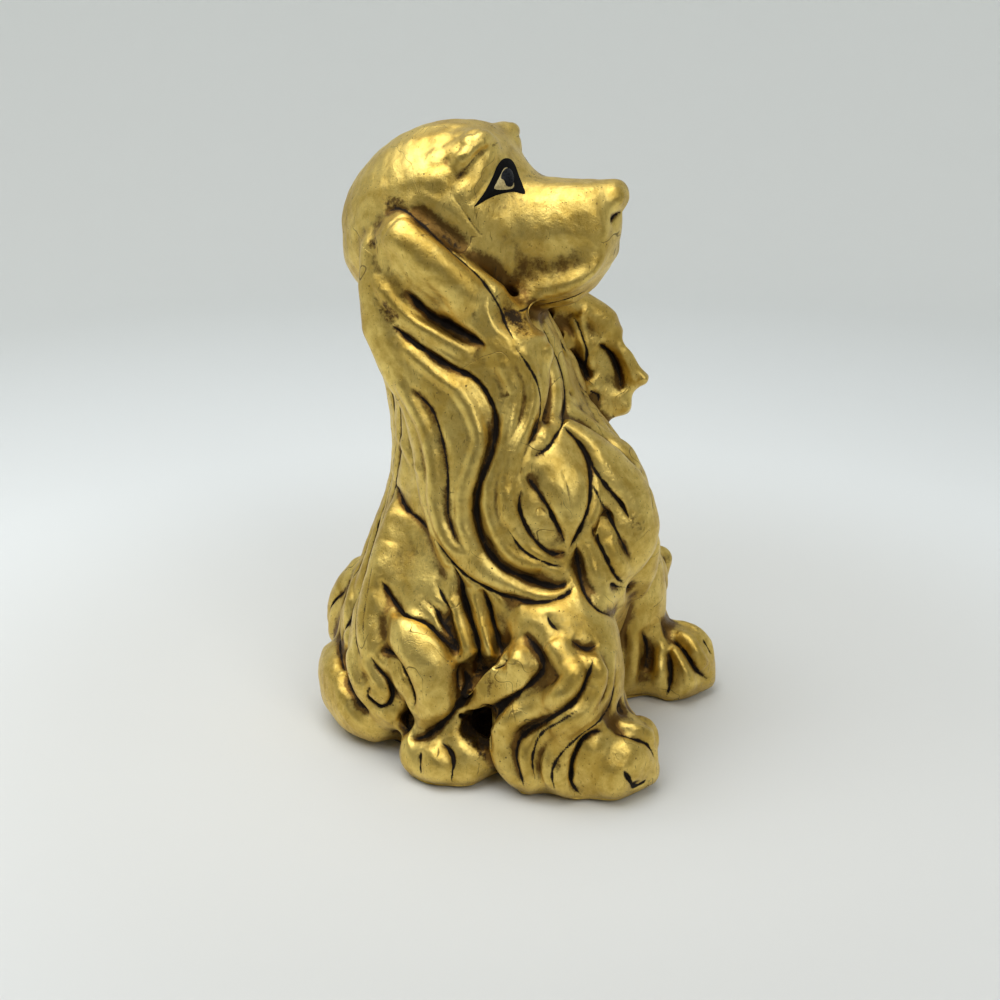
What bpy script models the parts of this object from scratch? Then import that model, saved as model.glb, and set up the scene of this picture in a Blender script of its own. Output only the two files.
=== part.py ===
"""Gilded pottery spaniel, sitting up: a hollow body and head, with ears, locks, legs, paws and tail laid on.

The dog faces -Y with its right side toward -X, and stands on Z = 0.
"""

import math

import bmesh
import bpy
import numpy as np
from mathutils import Vector

MM = 0.001
WELD = 0.000001

# Driving sizes, in millimetres
JOINT_GAP = 0.3
BODY_WALL = 6.0
HEAD_WALL = 6.0
VENT_DIAMETER = 18.0
TORSO_HEIGHT = 248.0
TORSO_WIDTH = 134.0
TORSO_DEPTH = 147.0
HEAD_LENGTH = 142.0
HEAD_WIDTH = 82.0
HEAD_HEIGHT = 98.0
HEAD_RISE = 14.0
NAPE_OVERHANG = 10.0
NOSE_WIDTH = 21.0
NOSE_LENGTH = 15.0
NOSE_HEIGHT = 18.0
EYE_WIDTH = 21.0
EYE_HEIGHT = 19.0
EYE_DEPTH = 9.0
BROW_WIDTH = 14.0
BROW_THICKNESS = 11.0
EAR_ROLL_WIDTH = 33.0
EAR_ROLL_THICKNESS = 20.0
EAR_FALL_WIDTH = 23.0
EAR_FALL_THICKNESS = 13.0
EAR_BACK_WIDTH = 46.0
EAR_BACK_THICKNESS = 15.0
LEFT_EAR_FLARE = 34.0
LEFT_EAR_WIDTH = 36.0
LEFT_EAR_TIP_WIDTH = 30.0
RUFF_LEAF_WIDTH = 30.0
RUFF_LEAF_THICKNESS = 14.0
RUFF_FRONT_WIDTH = 30.0
RUFF_FRONT_THICKNESS = 16.0
CHEST_LOCK_WIDTH = 34.0
CHEST_LOCK_THICKNESS = 12.0
BIB_LOCK_WIDTH = 19.0
BIB_LOCK_THICKNESS = 14.0
FORELEG_WIDTH = 58.0
FORELEG_DEPTH = 60.0
FORELEG_SPREAD = 102.0
FORELEG_FORWARD = 24.0
FOREPAW_WIDTH = 49.0
FOREPAW_LENGTH = 46.0
FOREPAW_HEIGHT = 39.0
FOREPAW_SPREAD = 110.0
FOREPAW_FORWARD = 51.0
FRONT_SHIFT = 5.0
LEFT_PAW_LEAD = 9.0
THIGH_WIDTH = 36.0
THIGH_THICKNESS = 30.0
HIP_LOCK_WIDTH = 34.0
HIP_LOCK_THICKNESS = 20.0
RUMP_LOCK_WIDTH = 42.0
RUMP_LOCK_THICKNESS = 22.0
HIND_FOOT_WIDTH = 34.0
HIND_FOOT_LENGTH = 60.0
HIND_FOOT_HEIGHT = 29.0
HIND_FOOT_STANDOFF = 11.0
BELLY_LOCK_WIDTH = 12.0
BELLY_LOCK_THICKNESS = 10.0
LEG_LOCK_WIDTH = 24.0
LEG_LOCK_THICKNESS = 16.0
ELBOW_LOCK_WIDTH = 17.0
ELBOW_LOCK_THICKNESS = 13.0
TAIL_WIDTH = 32.0
TAIL_THICKNESS = 20.0
FELT_THICKNESS = 1.3
FELT_INSET = 3.0
BACK_VALLEY_DEPTH = 2.8
LIFT_STEP = 1.0
SOLE = FELT_THICKNESS + JOINT_GAP
HIND_FOOT_X = TORSO_WIDTH / 2 + HIND_FOOT_STANDOFF

# Torso rows, foot to neck: share of its height, centre and depth to front and back as shares of its depth
TORSO_SHAPE = (
    (0.000, -0.286, 0.925, 0.435, 0.469, 2.0),
    (0.100, -0.286, 0.995, 0.490, 0.510, 2.0),
    (0.200, -0.272, 1.000, 0.531, 0.517, 2.0),
    (0.300, -0.231, 0.955, 0.537, 0.490, 2.0),
    (0.400, -0.177, 0.896, 0.517, 0.483, 2.0),
    (0.500, -0.136, 0.836, 0.476, 0.463, 2.0),
    (0.605, -0.122, 0.790, 0.380, 0.449, 2.0),
    (0.705, -0.163, 0.716, 0.275, 0.422, 2.0),
    (0.806, -0.245, 0.642, 0.290, 0.388, 2.0),
    (0.895, -0.327, 0.567, 0.286, 0.340, 2.0),
    (0.968, -0.367, 0.400, 0.190, 0.218, 2.0),
    (1.000, -0.372, 0.000, 0.000, 0.000, 2.0),
)

# Head rows, nape to nose: share of its length, centre, half width, reach up and down as shares, squareness
HEAD_SHAPE = (
    (0.000, -0.061, 0.000, 0.000, 0.000, 2.0),
    (0.028, -0.061, 0.390, 0.204, 0.204, 2.0),
    (0.103, -0.041, 0.707, 0.337, 0.337, 2.0),
    (0.193, -0.020, 0.878, 0.429, 0.408, 2.0),
    (0.297, 0.000, 0.963, 0.480, 0.439, 2.1),
    (0.407, 0.010, 1.000, 0.500, 0.439, 2.2),
    (0.503, 0.000, 0.940, 0.500, 0.429, 2.3),
    (0.572, -0.020, 0.830, 0.475, 0.408, 2.4),
    (0.641, -0.041, 0.650, 0.372, 0.367, 2.2),
    (0.697, -0.061, 0.590, 0.312, 0.332, 2.3),
    (0.766, -0.071, 0.590, 0.316, 0.310, 2.5),
    (0.848, -0.061, 0.585, 0.306, 0.286, 2.5),
    (0.917, -0.020, 0.540, 0.265, 0.234, 2.4),
    (0.966, 0.020, 0.420, 0.204, 0.163, 2.2),
    (1.000, 0.060, 0.000, 0.000, 0.000, 2.0),
)

# Valleys between the hair locks down the back: degrees from the breast, half span and sway in degrees, waves
BACK_VALLEYS = (131.0, 146.0, 162.0, 180.0, 198.0, 214.0, 229.0)
BACK_VALLEY_SPAN = 9.0
BACK_SWAY = 4.0
BACK_WAVES = 2.6

# Direction that the broad side of the flying left ear faces
LEFT_EAR_FACE = np.array((0.95, -0.25, 0.20))

# Fullness of a member from its root to its tip, as shares of its full width and thickness
RIBBON = (0.55, 0.90, 1.00, 1.00, 1.00, 0.90, 0.45)
LEAF = (0.30, 0.75, 1.00, 1.00, 0.85, 0.55, 0.15)
DROP = (0.40, 0.70, 0.90, 1.00, 1.00, 0.85, 0.45)
LOBE = (0.45, 0.85, 1.00, 1.00, 0.95, 0.80, 0.50)
FALL = (0.50, 0.85, 1.00, 0.95, 0.70, 0.52, 0.22)


def curve(rows, count):
    """Rows read evenly along a soft curve that passes through each row of a table."""
    rows = np.asarray(rows, float)
    padded = np.vstack((2 * rows[0] - rows[1], rows, 2 * rows[-1] - rows[-2]))
    places = np.linspace(0.0, len(rows) - 1.0, count)
    first = np.minimum(places.astype(int), len(rows) - 2)
    t = (places - first)[:, None]
    a, b, c, d = (padded[first + k] for k in range(4))
    return 0.5 * (2 * b + (c - a) * t + (2 * a - 5 * b + 4 * c - d) * t**2 + (3 * b - a - 3 * c + d) * t**3)


def unit(vector):
    """The vector at length one."""
    return np.asarray(vector, float) / np.linalg.norm(vector)


def skin(rings, start, end):
    """Closed faces over a stack of rings, with a single point at each end."""
    count = len(rings[0])
    points = [start]
    for ring in rings:
        points.extend(ring)
    points.append(end)
    last = len(points) - 1
    faces = []
    for k in range(count):
        after = (k + 1) % count
        faces.append((0, 1 + after, 1 + k))
        for row in range(len(rings) - 1):
            base = 1 + row * count
            faces.append((base + k, base + after, base + count + after, base + count + k))
        base = 1 + (len(rings) - 1) * count
        faces.append((base + k, base + after, last))
    return np.array(points), faces


class Loft:
    """A skin of rings along a straight spine, such as the torso along Z or the head along -Y."""

    def __init__(self, rows, along, upward, steps, around, relief=None):
        self.rows = curve(rows, 161)
        self.relief = relief or (lambda place, angle: 0.0)
        self.along = np.array(along, float)
        self.upward = np.array(upward, float)
        self.side = np.array((-1.0, 0.0, 0.0))
        self.steps = steps
        self.around = around
        self.ends = (rows[0][0], rows[-1][0])

    def point(self, place, angle, lift=0.0):
        """Point on the skin at a place along the spine and an angle from the upward reach to the dog's right."""
        centre, wide, high, low, square = (np.interp(place, self.rows[:, 0], self.rows[:, k]) for k in range(1, 6))
        cosine = math.cos(math.radians(angle))
        sine = math.sin(math.radians(angle))
        reach = (high if cosine > 0 else low) + lift
        up = centre + math.copysign(reach * abs(cosine) ** (2 / square), cosine)
        across = math.copysign((wide + lift) * abs(sine) ** (2 / square), sine)
        return self.along * place + self.upward * up + self.side * across

    def normal(self, place, angle):
        """Outward direction of the skin at a place and an angle."""
        step = 1.5
        length = self.point(place + step, angle) - self.point(place - step, angle)
        turn = self.point(place, angle + step) - self.point(place, angle - step)
        return unit(np.cross(turn, length)) * np.sign(np.dot(np.cross(self.upward, self.side), self.along))

    def shape(self, grow):
        """The closed skin, grown outward or drawn inward."""
        low, high = self.ends
        even = np.linspace(0.0, 1.0, self.steps + 2)[(0 if self.rows[0, 2] > 1.0 else 1):-1]
        share = (1 - np.cos(even * math.pi)) / 2
        places = low + (high - low) * (0.35 * share + 0.65 * even)
        angles = np.arange(self.around) * 360.0 / self.around
        rings = []
        for place in places:
            rings.append([self.point(place, angle, grow + self.relief(place, angle)) for angle in angles])
        first = self.along * (low - grow) + self.upward * self.rows[0, 1]
        final = self.along * (high + grow) + self.upward * self.rows[-1, 1]
        return skin(rings, first, final)


class Sweep:
    """A member drawn along a path: width across it, thickness along its outward direction."""

    def __init__(self, path, outward, width, thickness, fullness, steps=10, around=10, floor=None):
        self.path = curve(path, steps)
        self.outward = curve(outward, steps)
        places = np.linspace(0.0, len(fullness) - 1.0, steps)
        full = np.interp(places, np.arange(len(fullness)), fullness)
        self.half_width = full * width / 2
        self.half_thickness = np.sqrt(full) * thickness / 2
        self.around = around
        self.floor = floor

    def shape(self, grow):
        """The closed skin, grown outward."""
        along = np.gradient(self.path, axis=0)
        rings = []
        for k, middle in enumerate(self.path):
            ahead = unit(along[k])
            out = unit(self.outward[k] - ahead * np.dot(self.outward[k], ahead))
            across = np.cross(out, ahead)
            ring = []
            for turn in np.arange(self.around) * 2 * math.pi / self.around:
                wide = (self.half_width[k] + grow) * math.cos(turn)
                thick = (self.half_thickness[k] + grow) * math.sin(turn)
                ring.append(middle - across * wide + out * thick)
            rings.append(ring)
        start = self.path[0] - unit(along[0]) * (0.6 * self.half_width[0] + grow)
        end = self.path[-1] + unit(along[-1]) * (0.6 * self.half_width[-1] + grow)
        points, faces = skin(rings, start, end)
        if self.floor is not None:
            points[:, 2] = np.maximum(points[:, 2], self.floor - grow)
        return points, faces


class Ball:
    """An egg-shaped member with three half sizes along its own axes."""

    def __init__(self, middle, axes, sizes, steps=6, around=12):
        self.middle = np.asarray(middle, float)
        self.axes = axes
        self.sizes = sizes
        self.steps = steps
        self.around = around

    def shape(self, grow):
        """The closed skin, grown outward."""
        first, second, third = (axis * (size / 2 + grow) for axis, size in zip(self.axes, self.sizes))
        rings = []
        for tilt in np.linspace(-math.pi / 2, math.pi / 2, self.steps + 2)[1:-1]:
            turns = np.arange(self.around) * 2 * math.pi / self.around
            ring = [first * math.cos(a) * math.cos(tilt) + second * math.sin(a) * math.cos(tilt) for a in turns]
            rings.append([self.middle + point + third * math.sin(tilt) for point in ring])
        return skin(rings, self.middle - third, self.middle + third)


class Rod:
    """An upright round rod, used to bore the vent."""

    def __init__(self, middle, diameter, length):
        self.middle = np.asarray(middle, float)
        self.diameter = diameter
        self.length = length

    def shape(self, grow):
        """The closed rod."""
        radius = self.diameter / 2 + grow
        turns = np.arange(20) * 2 * math.pi / 20
        rings = []
        for height in (-self.length / 2, self.length / 2):
            rings.append([self.middle + (radius * math.cos(a), radius * math.sin(a), height) for a in turns])
        return skin(rings, self.middle - (0, 0, self.length / 2), self.middle + (0, 0, self.length / 2))


def mesh_object(name, points, faces):
    """A new object with outward, three-sided faces."""
    mesh = bpy.data.meshes.new(name)
    mesh.from_pydata([Vector(point) * MM for point in points], [], faces)
    work = bmesh.new()
    work.from_mesh(mesh)
    bmesh.ops.remove_doubles(work, verts=work.verts, dist=WELD)
    bmesh.ops.recalc_face_normals(work, faces=work.faces)
    bmesh.ops.triangulate(work, faces=work.faces)
    work.to_mesh(mesh)
    work.free()
    made = bpy.data.objects.new(name, mesh)
    bpy.context.scene.collection.objects.link(made)
    return made


def cut(target, points, faces):
    """Take a closed shape away from an object, keeping its faces three-sided."""
    cutter = mesh_object("cutter", points, faces)
    step = target.modifiers.new("cut", "BOOLEAN")
    step.operation = "DIFFERENCE"
    step.solver = "EXACT"
    step.object = cutter
    graph = bpy.context.evaluated_depsgraph_get()
    result = bpy.data.meshes.new_from_object(target.evaluated_get(graph))
    target.modifiers.clear()
    work = bmesh.new()
    work.from_mesh(result)
    bmesh.ops.remove_doubles(work, verts=work.verts, dist=WELD)
    bmesh.ops.dissolve_degenerate(work, edges=work.edges, dist=WELD)
    bmesh.ops.triangulate(work, faces=work.faces)
    work.to_mesh(result)
    work.free()
    old = target.data
    target.data = result
    bpy.data.meshes.remove(old)
    spent = cutter.data
    bpy.data.objects.remove(cutter)
    bpy.data.meshes.remove(spent)


def keep_largest(target):
    """Drop the chips a cut leaves behind, keeping the largest closed body."""
    work = bmesh.new()
    work.from_mesh(target.data)
    left = set(work.faces)
    bodies = []
    while left:
        stack = [left.pop()]
        body = set(stack)
        while stack:
            face = stack.pop()
            for edge in face.edges:
                for near in edge.link_faces:
                    if near in left:
                        left.discard(near)
                        body.add(near)
                        stack.append(near)
        bodies.append(body)
    bodies.sort(key=lambda body: sum(face.calc_area() for face in body))
    spare = [face for body in bodies[:-1] for face in body]
    bmesh.ops.delete(work, geom=spare, context="FACES")
    work.to_mesh(target.data)
    work.free()


class Figure:
    """The dog as it is put together: each new member is trimmed to sit against the members already laid."""

    def __init__(self):
        self.laid = []
        self.materials = {}

    def material(self, name, colour):
        """A plain named material."""
        made = bpy.data.materials.new(name)
        made.diffuse_color = (*colour, 1.0)
        self.materials[name] = made

    def lay(self, name, member, material="gilt_pottery", hollows=()):
        """Lay one member on the figure."""
        points, faces = member.shape(0.0)
        made = mesh_object(name, points, faces)
        for hollow in hollows:
            cut(made, *hollow)
        low = points.min(axis=0)
        high = points.max(axis=0)
        for other in self.laid:
            near_points, near_faces = other.shape(JOINT_GAP)
            if np.all(near_points.min(axis=0) < high) and np.all(near_points.max(axis=0) > low):
                cut(made, near_points, near_faces)
        keep_largest(made)
        made.data.materials.clear()
        made.data.materials.append(self.materials[material])
        self.laid.append(member)
        return made


def back_relief(place, angle):
    """Depth of the valleys between the hair locks of the back, at a height and an angle from the breast."""
    share = place / TORSO_HEIGHT
    sway = BACK_SWAY * math.sin(2 * math.pi * BACK_WAVES * share)
    nearest = min(abs(angle % 360.0 - valley - sway) for valley in BACK_VALLEYS)
    fade = min(1.0, max(0.0, 10.0 * share - 1.0), max(0.0, 9.2 - 10.0 * share))
    return -BACK_VALLEY_DEPTH * fade * max(0.0, 1.0 - nearest / BACK_VALLEY_SPAN) ** 2


def torso_loft():
    """The torso, standing on the felt."""
    rows = []
    for height, centre, wide, front, back, square in TORSO_SHAPE:
        place = SOLE + (TORSO_HEIGHT - SOLE) * height
        half = wide * TORSO_WIDTH / 2
        rows.append((place, centre * TORSO_DEPTH, half, front * TORSO_DEPTH, back * TORSO_DEPTH, square))
    return Loft(rows, (0, 0, 1), (0, -1, 0), 24, 60, back_relief)


def head_loft(torso):
    """The head, its nape overhanging the back of the neck."""
    nape = torso.point(0.9 * TORSO_HEIGHT, 180.0)[1] + NAPE_OVERHANG
    middle = TORSO_HEIGHT + HEAD_RISE
    rows = []
    for share, centre, wide, high, low, square in HEAD_SHAPE:
        place = HEAD_LENGTH * share - nape
        row = (place, middle + centre * HEAD_HEIGHT, wide * HEAD_WIDTH / 2, high * HEAD_HEIGHT, low * HEAD_HEIGHT)
        rows.append((*row, square))
    return Loft(rows, (0, -1, 0), (0, 0, 1), 20, 24)


class Places:
    """Points and outward directions on the torso and the head, for one side of the dog."""

    def __init__(self, torso, head, side):
        self.torso = torso
        self.head = head
        self.side = side

    def on_torso(self, angle, height, lift):
        """A point over the torso: angle from the breast, share of the torso's height, steps off the skin."""
        turn = angle * self.side
        place = height * TORSO_HEIGHT
        return self.torso.point(place, turn, lift * LIFT_STEP), self.torso.normal(place, turn)

    def on_head(self, angle, share, lift):
        """A point over the head: angle from the crown, share of the way from nape to nose, steps off the skin."""
        turn = angle * self.side
        low, high = self.head.ends
        place = low + share * (high - low)
        return self.head.point(place, turn, lift * LIFT_STEP), self.head.normal(place, turn)


def drape(points, width, thickness, fullness, **extra):
    """A lock laid through surface points, each a point and its outward direction."""
    return Sweep([p for p, n in points], [n for p, n in points], width, thickness, fullness, **extra)


def leg_axis(side):
    """Middle of a foreleg on the floor."""
    return -side * FORELEG_SPREAD / 2 - FRONT_SHIFT, -FORELEG_FORWARD


def foreleg(torso, side):
    """A foreleg, from the shoulder down to the floor."""
    x, y = leg_axis(side)
    shoulder = torso.point(0.45 * TORSO_HEIGHT, 50.0 * side, -12.0 * LIFT_STEP)
    elbow = torso.point(0.36 * TORSO_HEIGHT, 52.0 * side, -6.0 * LIFT_STEP)
    path = (shoulder, elbow, (x, y, 0.25 * TORSO_HEIGHT), (x, y, 0.13 * TORSO_HEIGHT), (x, y, -4 * SOLE))
    outward = [(0, -1, 0)] * len(path)
    fullness = (0.45, 0.75, 0.96, 1.00, 0.98, 1.00)
    return Sweep(path, outward, FORELEG_WIDTH, FORELEG_DEPTH, fullness, steps=10, around=16, floor=SOLE)


def leg_lock(side, turns):
    """A wavy strand down a foreleg: angles from its outer face toward its front, at even steps to the floor."""
    x, y = leg_axis(side)
    path = []
    outward = []
    for height, turn in zip((0.30, 0.22, 0.14, 0.07, 0.00), turns):
        out = np.array((-side * math.cos(math.radians(turn)), -math.sin(math.radians(turn)), 0.0))
        path.append(np.array((x, y, height * TORSO_HEIGHT)) + out * (FORELEG_WIDTH / 2, FORELEG_DEPTH / 2, 0))
        outward.append(out)
    return Sweep(path, outward, LEG_LOCK_WIDTH, LEG_LOCK_THICKNESS, RIBBON, steps=11, floor=SOLE)


def paw(x, heel, length, width, height):
    """A foot lying along -Y, broad at its flat sole."""
    path = []
    for share, rise in ((0.18, 0.14), (0.42, 0.20), (0.65, 0.19), (0.83, 0.15)):
        path.append((x, heel - length * share, height * rise))
    outward = [(0, 0, 1)] * len(path)
    fullness = (0.70, 0.98, 1.00, 0.94, 0.66)
    return Sweep(path, outward, width, 1.60 * height, fullness, steps=8, around=14, floor=SOLE)


class Felt:
    """The felt under the body, inset from its foot."""

    def __init__(self, torso):
        turns = np.arange(60) * 6.0
        self.outline = np.array([torso.point(SOLE, turn, -FELT_INSET)[:2] for turn in turns])

    def shape(self, grow):
        """The closed sheet."""
        rings = []
        for height in (0.0, FELT_THICKNESS):
            rings.append([np.array((x, y, height)) for x, y in self.outline])
        middle = np.append(self.outline.mean(axis=0), 0.0)
        return skin(rings, middle, middle + (0, 0, FELT_THICKNESS))


def build():
    """Lay every member of the figure in the order a potter would."""
    figure = Figure()
    figure.material("gilt_pottery", (0.55, 0.42, 0.12))
    figure.material("eye_glaze", (0.75, 0.70, 0.55))
    figure.material("base_felt", (0.03, 0.03, 0.03))

    torso = torso_loft()
    head = head_loft(torso)
    hollow_points, hollow_faces = torso.shape(-BODY_WALL)
    hollow_points[0, 2] = -BODY_WALL
    hollow_points[:, 2] = np.where(hollow_points[:, 2] < SOLE + JOINT_GAP, -BODY_WALL, hollow_points[:, 2])
    crown = torso.point(0.99 * TORSO_HEIGHT, 90.0)
    vent = Rod((0.0, crown[1], TORSO_HEIGHT - BODY_WALL), VENT_DIAMETER, 4 * BODY_WALL)
    figure.lay("body_shell", torso, hollows=((hollow_points, hollow_faces), vent.shape(0.0)))
    figure.lay("head_shell", head, hollows=(head.shape(-HEAD_WALL),))

    sides = (("right", 1), ("left", -1))
    for word, side in sides:
        figure.lay(word + "_foreleg", foreleg(torso, side))
    for word, side in sides:
        lead = 0.0 if side > 0 else LEFT_PAW_LEAD
        heel = FOREPAW_LENGTH / 2 - FOREPAW_FORWARD - lead
        x = -side * FOREPAW_SPREAD / 2 - FRONT_SHIFT
        figure.lay(word + "_forepaw", paw(x, heel, FOREPAW_LENGTH, FOREPAW_WIDTH, FOREPAW_HEIGHT))
    for word, side in sides:
        figure.lay(word + "_leg_lock_back", leg_lock(side, (-28, -46, -40, -26, -22)))
        figure.lay(word + "_leg_lock_front", leg_lock(side, (44, 22, 36, 18, 30)))
    for word, side in sides:
        places = Places(torso, head, side)
        on = places.on_torso
        path = (on(107, 0.32, 2), on(95, 0.26, 7), on(85, 0.17, 8), on(82, 0.07, 6))
        figure.lay(word + "_thigh", drape(path, THIGH_WIDTH, THIGH_THICKNESS, LOBE, around=12, floor=SOLE))
        x = -side * HIND_FOOT_X
        heel = torso.point(0.05 * TORSO_HEIGHT, 104.0)[1]
        figure.lay(word + "_hind_foot", paw(x, heel, HIND_FOOT_LENGTH, HIND_FOOT_WIDTH, HIND_FOOT_HEIGHT))
        path = (on(136, 0.50, -1), on(126, 0.38, 0), on(118, 0.26, 3), on(111, 0.16, 6), on(102, 0.08, 4))
        figure.lay(word + "_hip_lock", drape(path, HIP_LOCK_WIDTH, HIP_LOCK_THICKNESS, DROP, floor=SOLE))
        path = (on(158, 0.12, 1), on(142, 0.085, 3), on(126, 0.065, 5), on(110, 0.05, 5))
        figure.lay(word + "_rump_lock", drape(path, RUMP_LOCK_WIDTH, RUMP_LOCK_THICKNESS, RIBBON, floor=SOLE))
        path = (on(72, 0.20, 3), on(62, 0.24, 4), on(52, 0.29, 4))
        figure.lay(word + "_elbow_lock", drape(path, ELBOW_LOCK_WIDTH, ELBOW_LOCK_THICKNESS, RIBBON))
        path = (on(78, 0.46, 1), on(74, 0.36, 2), on(68, 0.27, 3))
        figure.lay(word + "_belly_lock_front", drape(path, BELLY_LOCK_WIDTH, BELLY_LOCK_THICKNESS, DROP))
        path = (on(98, 0.48, 1), on(90, 0.38, 2), on(79, 0.29, 3), on(74, 0.24, 3))
        figure.lay(word + "_belly_lock_back", drape(path, BELLY_LOCK_WIDTH, BELLY_LOCK_THICKNESS, DROP))

    middle = Places(torso, head, 1)
    over = middle.on_torso
    path = (over(180, 0.30, -2), over(180, 0.20, 0), over(180, 0.09, 2))
    figure.lay("tail", drape(path, TAIL_WIDTH, TAIL_THICKNESS, DROP, around=12, floor=SOLE))

    for word, side in sides:
        places = Places(torso, head, side)
        on = places.on_torso
        near = places.on_head
        flare = LEFT_EAR_FLARE / LIFT_STEP
        path = (near(86, 0.29, 3), near(104, 0.41, 5), near(121, 0.55, 8))
        path += ((on(47, 0.87, 12), on(50, 0.80, 6), on(54, 0.72, 5)) if side > 0
                 else (on(56, 0.86, 0.65 * flare), on(46, 0.82, 1.05 * flare)))
        figure.lay(word + "_ear_roll", drape(path, EAR_ROLL_WIDTH, EAR_ROLL_THICKNESS, RIBBON))
        path = (near(108, 0.30, 2), on(94, 0.88, 7), on(80, 0.82, 5), on(67, 0.75, 5), on(69, 0.67, 4))
        path += (on(78, 0.59, 4), on(75, 0.51, 4), on(62, 0.45, 4), on(51, 0.42, 4))
        width = EAR_FALL_WIDTH
        if side < 0:
            path = (near(112, 0.32, 2), on(70, 0.83, 0.4 * flare), on(59, 0.766, 0.5 * flare))
            path += (on(51, 0.725, 0.8 * flare), on(45, 0.705, 1.02 * flare))
            path = [(point, LEFT_EAR_FACE) for point, out in path]
            width = LEFT_EAR_WIDTH
        figure.lay(word + "_ear_fall", drape(path, width, EAR_FALL_THICKNESS, RIBBON, steps=15))
        path = (near(92, 0.24, 2), on(108, 0.90, 9), on(102, 0.77, 4), on(101, 0.66, 4))
        path += (on(101, 0.56, 4), on(91, 0.465, 4), on(75, 0.41, 4), on(58, 0.39, 4))
        figure.lay(word + "_ear_back", drape(path, EAR_BACK_WIDTH, EAR_BACK_THICKNESS, FALL, steps=15))

    on = Places(torso, head, -1).on_torso
    path = (on(80, 0.766, 2), on(69, 0.70, 7), on(59, 0.668, 13), on(50, 0.66, 20))
    path = [(point, LEFT_EAR_FACE) for point, out in path]
    figure.lay("left_ear_tip", drape(path, LEFT_EAR_TIP_WIDTH, EAR_FALL_THICKNESS, LOBE))

    for word, side in sides:
        on = Places(torso, head, side).on_torso
        path = (on(52, 0.69, 3), on(50, 0.60, 5), on(51, 0.53, 5), on(53, 0.46, 4))
        if side < 0:
            path = (on(76, 0.64, 2), on(74, 0.58, 3), on(72, 0.52, 4), on(70, 0.46, 4))
        figure.lay(word + "_ruff_leaf", drape(path, RUFF_LEAF_WIDTH, RUFF_LEAF_THICKNESS, LEAF))
        path = (on(36, 0.70, 5), on(29, 0.64, 6), on(21, 0.56, 6), on(21, 0.47, 6), on(29, 0.40, 4))
        if side < 0:
            path = (on(64, 0.62, -1), on(58, 0.57, 0), on(50, 0.51, 2), on(44, 0.46, 3), on(43, 0.40, 3))
        figure.lay(word + "_ruff_front", drape(path, RUFF_FRONT_WIDTH, RUFF_FRONT_THICKNESS, DROP))
        path = (on(44, 0.48, 4), on(36, 0.41, 6), on(24, 0.33, 6))
        figure.lay(word + "_bib_lock", drape(path, BIB_LOCK_WIDTH, BIB_LOCK_THICKNESS, LEAF))
    path = (over(0, 0.64, -5), over(0, 0.60, -3), over(0, 0.55, -1), over(0, 0.50, 1))
    figure.lay("chest_lock", drape(path, CHEST_LOCK_WIDTH, CHEST_LOCK_THICKNESS, LEAF))
    path = (over(0, 0.47, 1), over(0, 0.39, 2), over(0, 0.30, 3))
    figure.lay("bib_lock_centre", drape(path, BIB_LOCK_WIDTH, BIB_LOCK_THICKNESS, LEAF))

    for word, side in sides:
        near = Places(torso, head, side).on_head
        path = (near(20, 0.575, 0), near(34, 0.535, 1), near(52, 0.515, 0))
        figure.lay(word + "_brow", drape(path, BROW_WIDTH, BROW_THICKNESS, LOBE))
        spot, out = near(50, 0.635, -2.5)
        ahead = unit(np.cross(out, (0, 0, 1)))
        axes = (ahead, np.cross(out, ahead), out)
        figure.lay(word + "_eye", Ball(spot, axes, (EYE_WIDTH, EYE_HEIGHT, EYE_DEPTH)), "eye_glaze")
    spot, out = middle.on_head(45, 0.965, -1)
    axes = (np.array((1.0, 0, 0)), np.array((0, 1.0, 0)), np.array((0, 0, 1.0)))
    figure.lay("nose", Ball((0.0, spot[1], spot[2]), axes, (NOSE_WIDTH, NOSE_LENGTH, NOSE_HEIGHT)))

    figure.lay("felt_base", Felt(torso), "base_felt")


def main():
    """Clear the file and build the dog."""
    for item in list(bpy.data.objects):
        bpy.data.objects.remove(item)
    build()


main()
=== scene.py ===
"""Gilded pottery spaniel: its gilt skin, painted eyes and felt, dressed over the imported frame."""

import math

import bpy
import numpy as np
from bpy.props import FloatProperty, FloatVectorProperty, IntProperty, PointerProperty
from mathutils import Euler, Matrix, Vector
from mathutils.bvhtree import BVHTree


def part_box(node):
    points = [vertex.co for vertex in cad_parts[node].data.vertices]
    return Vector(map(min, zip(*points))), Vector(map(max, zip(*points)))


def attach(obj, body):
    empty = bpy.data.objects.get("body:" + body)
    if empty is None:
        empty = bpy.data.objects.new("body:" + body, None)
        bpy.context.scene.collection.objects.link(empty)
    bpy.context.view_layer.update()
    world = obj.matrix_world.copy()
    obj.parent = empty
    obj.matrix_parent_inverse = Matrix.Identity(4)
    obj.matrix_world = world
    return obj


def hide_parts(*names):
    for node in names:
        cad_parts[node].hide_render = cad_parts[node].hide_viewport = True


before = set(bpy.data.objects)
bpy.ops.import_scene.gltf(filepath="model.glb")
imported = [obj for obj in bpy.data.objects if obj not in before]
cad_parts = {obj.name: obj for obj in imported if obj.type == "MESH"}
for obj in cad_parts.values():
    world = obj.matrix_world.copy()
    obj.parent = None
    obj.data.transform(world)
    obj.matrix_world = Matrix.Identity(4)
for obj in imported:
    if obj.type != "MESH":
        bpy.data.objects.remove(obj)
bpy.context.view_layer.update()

bl_info = {
    "name": "Gilded pottery spaniel",
    "version": (1, 0, 0),
    "blender": (4, 5, 0),
    "location": "3D View > Sidebar > Spaniel",
    "description": "Carves and gilds a sitting pottery spaniel over its packed frame",
    "category": "Object",
}

MM = 0.001
TINY = 1e-12
WELD = 1e-6

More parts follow.
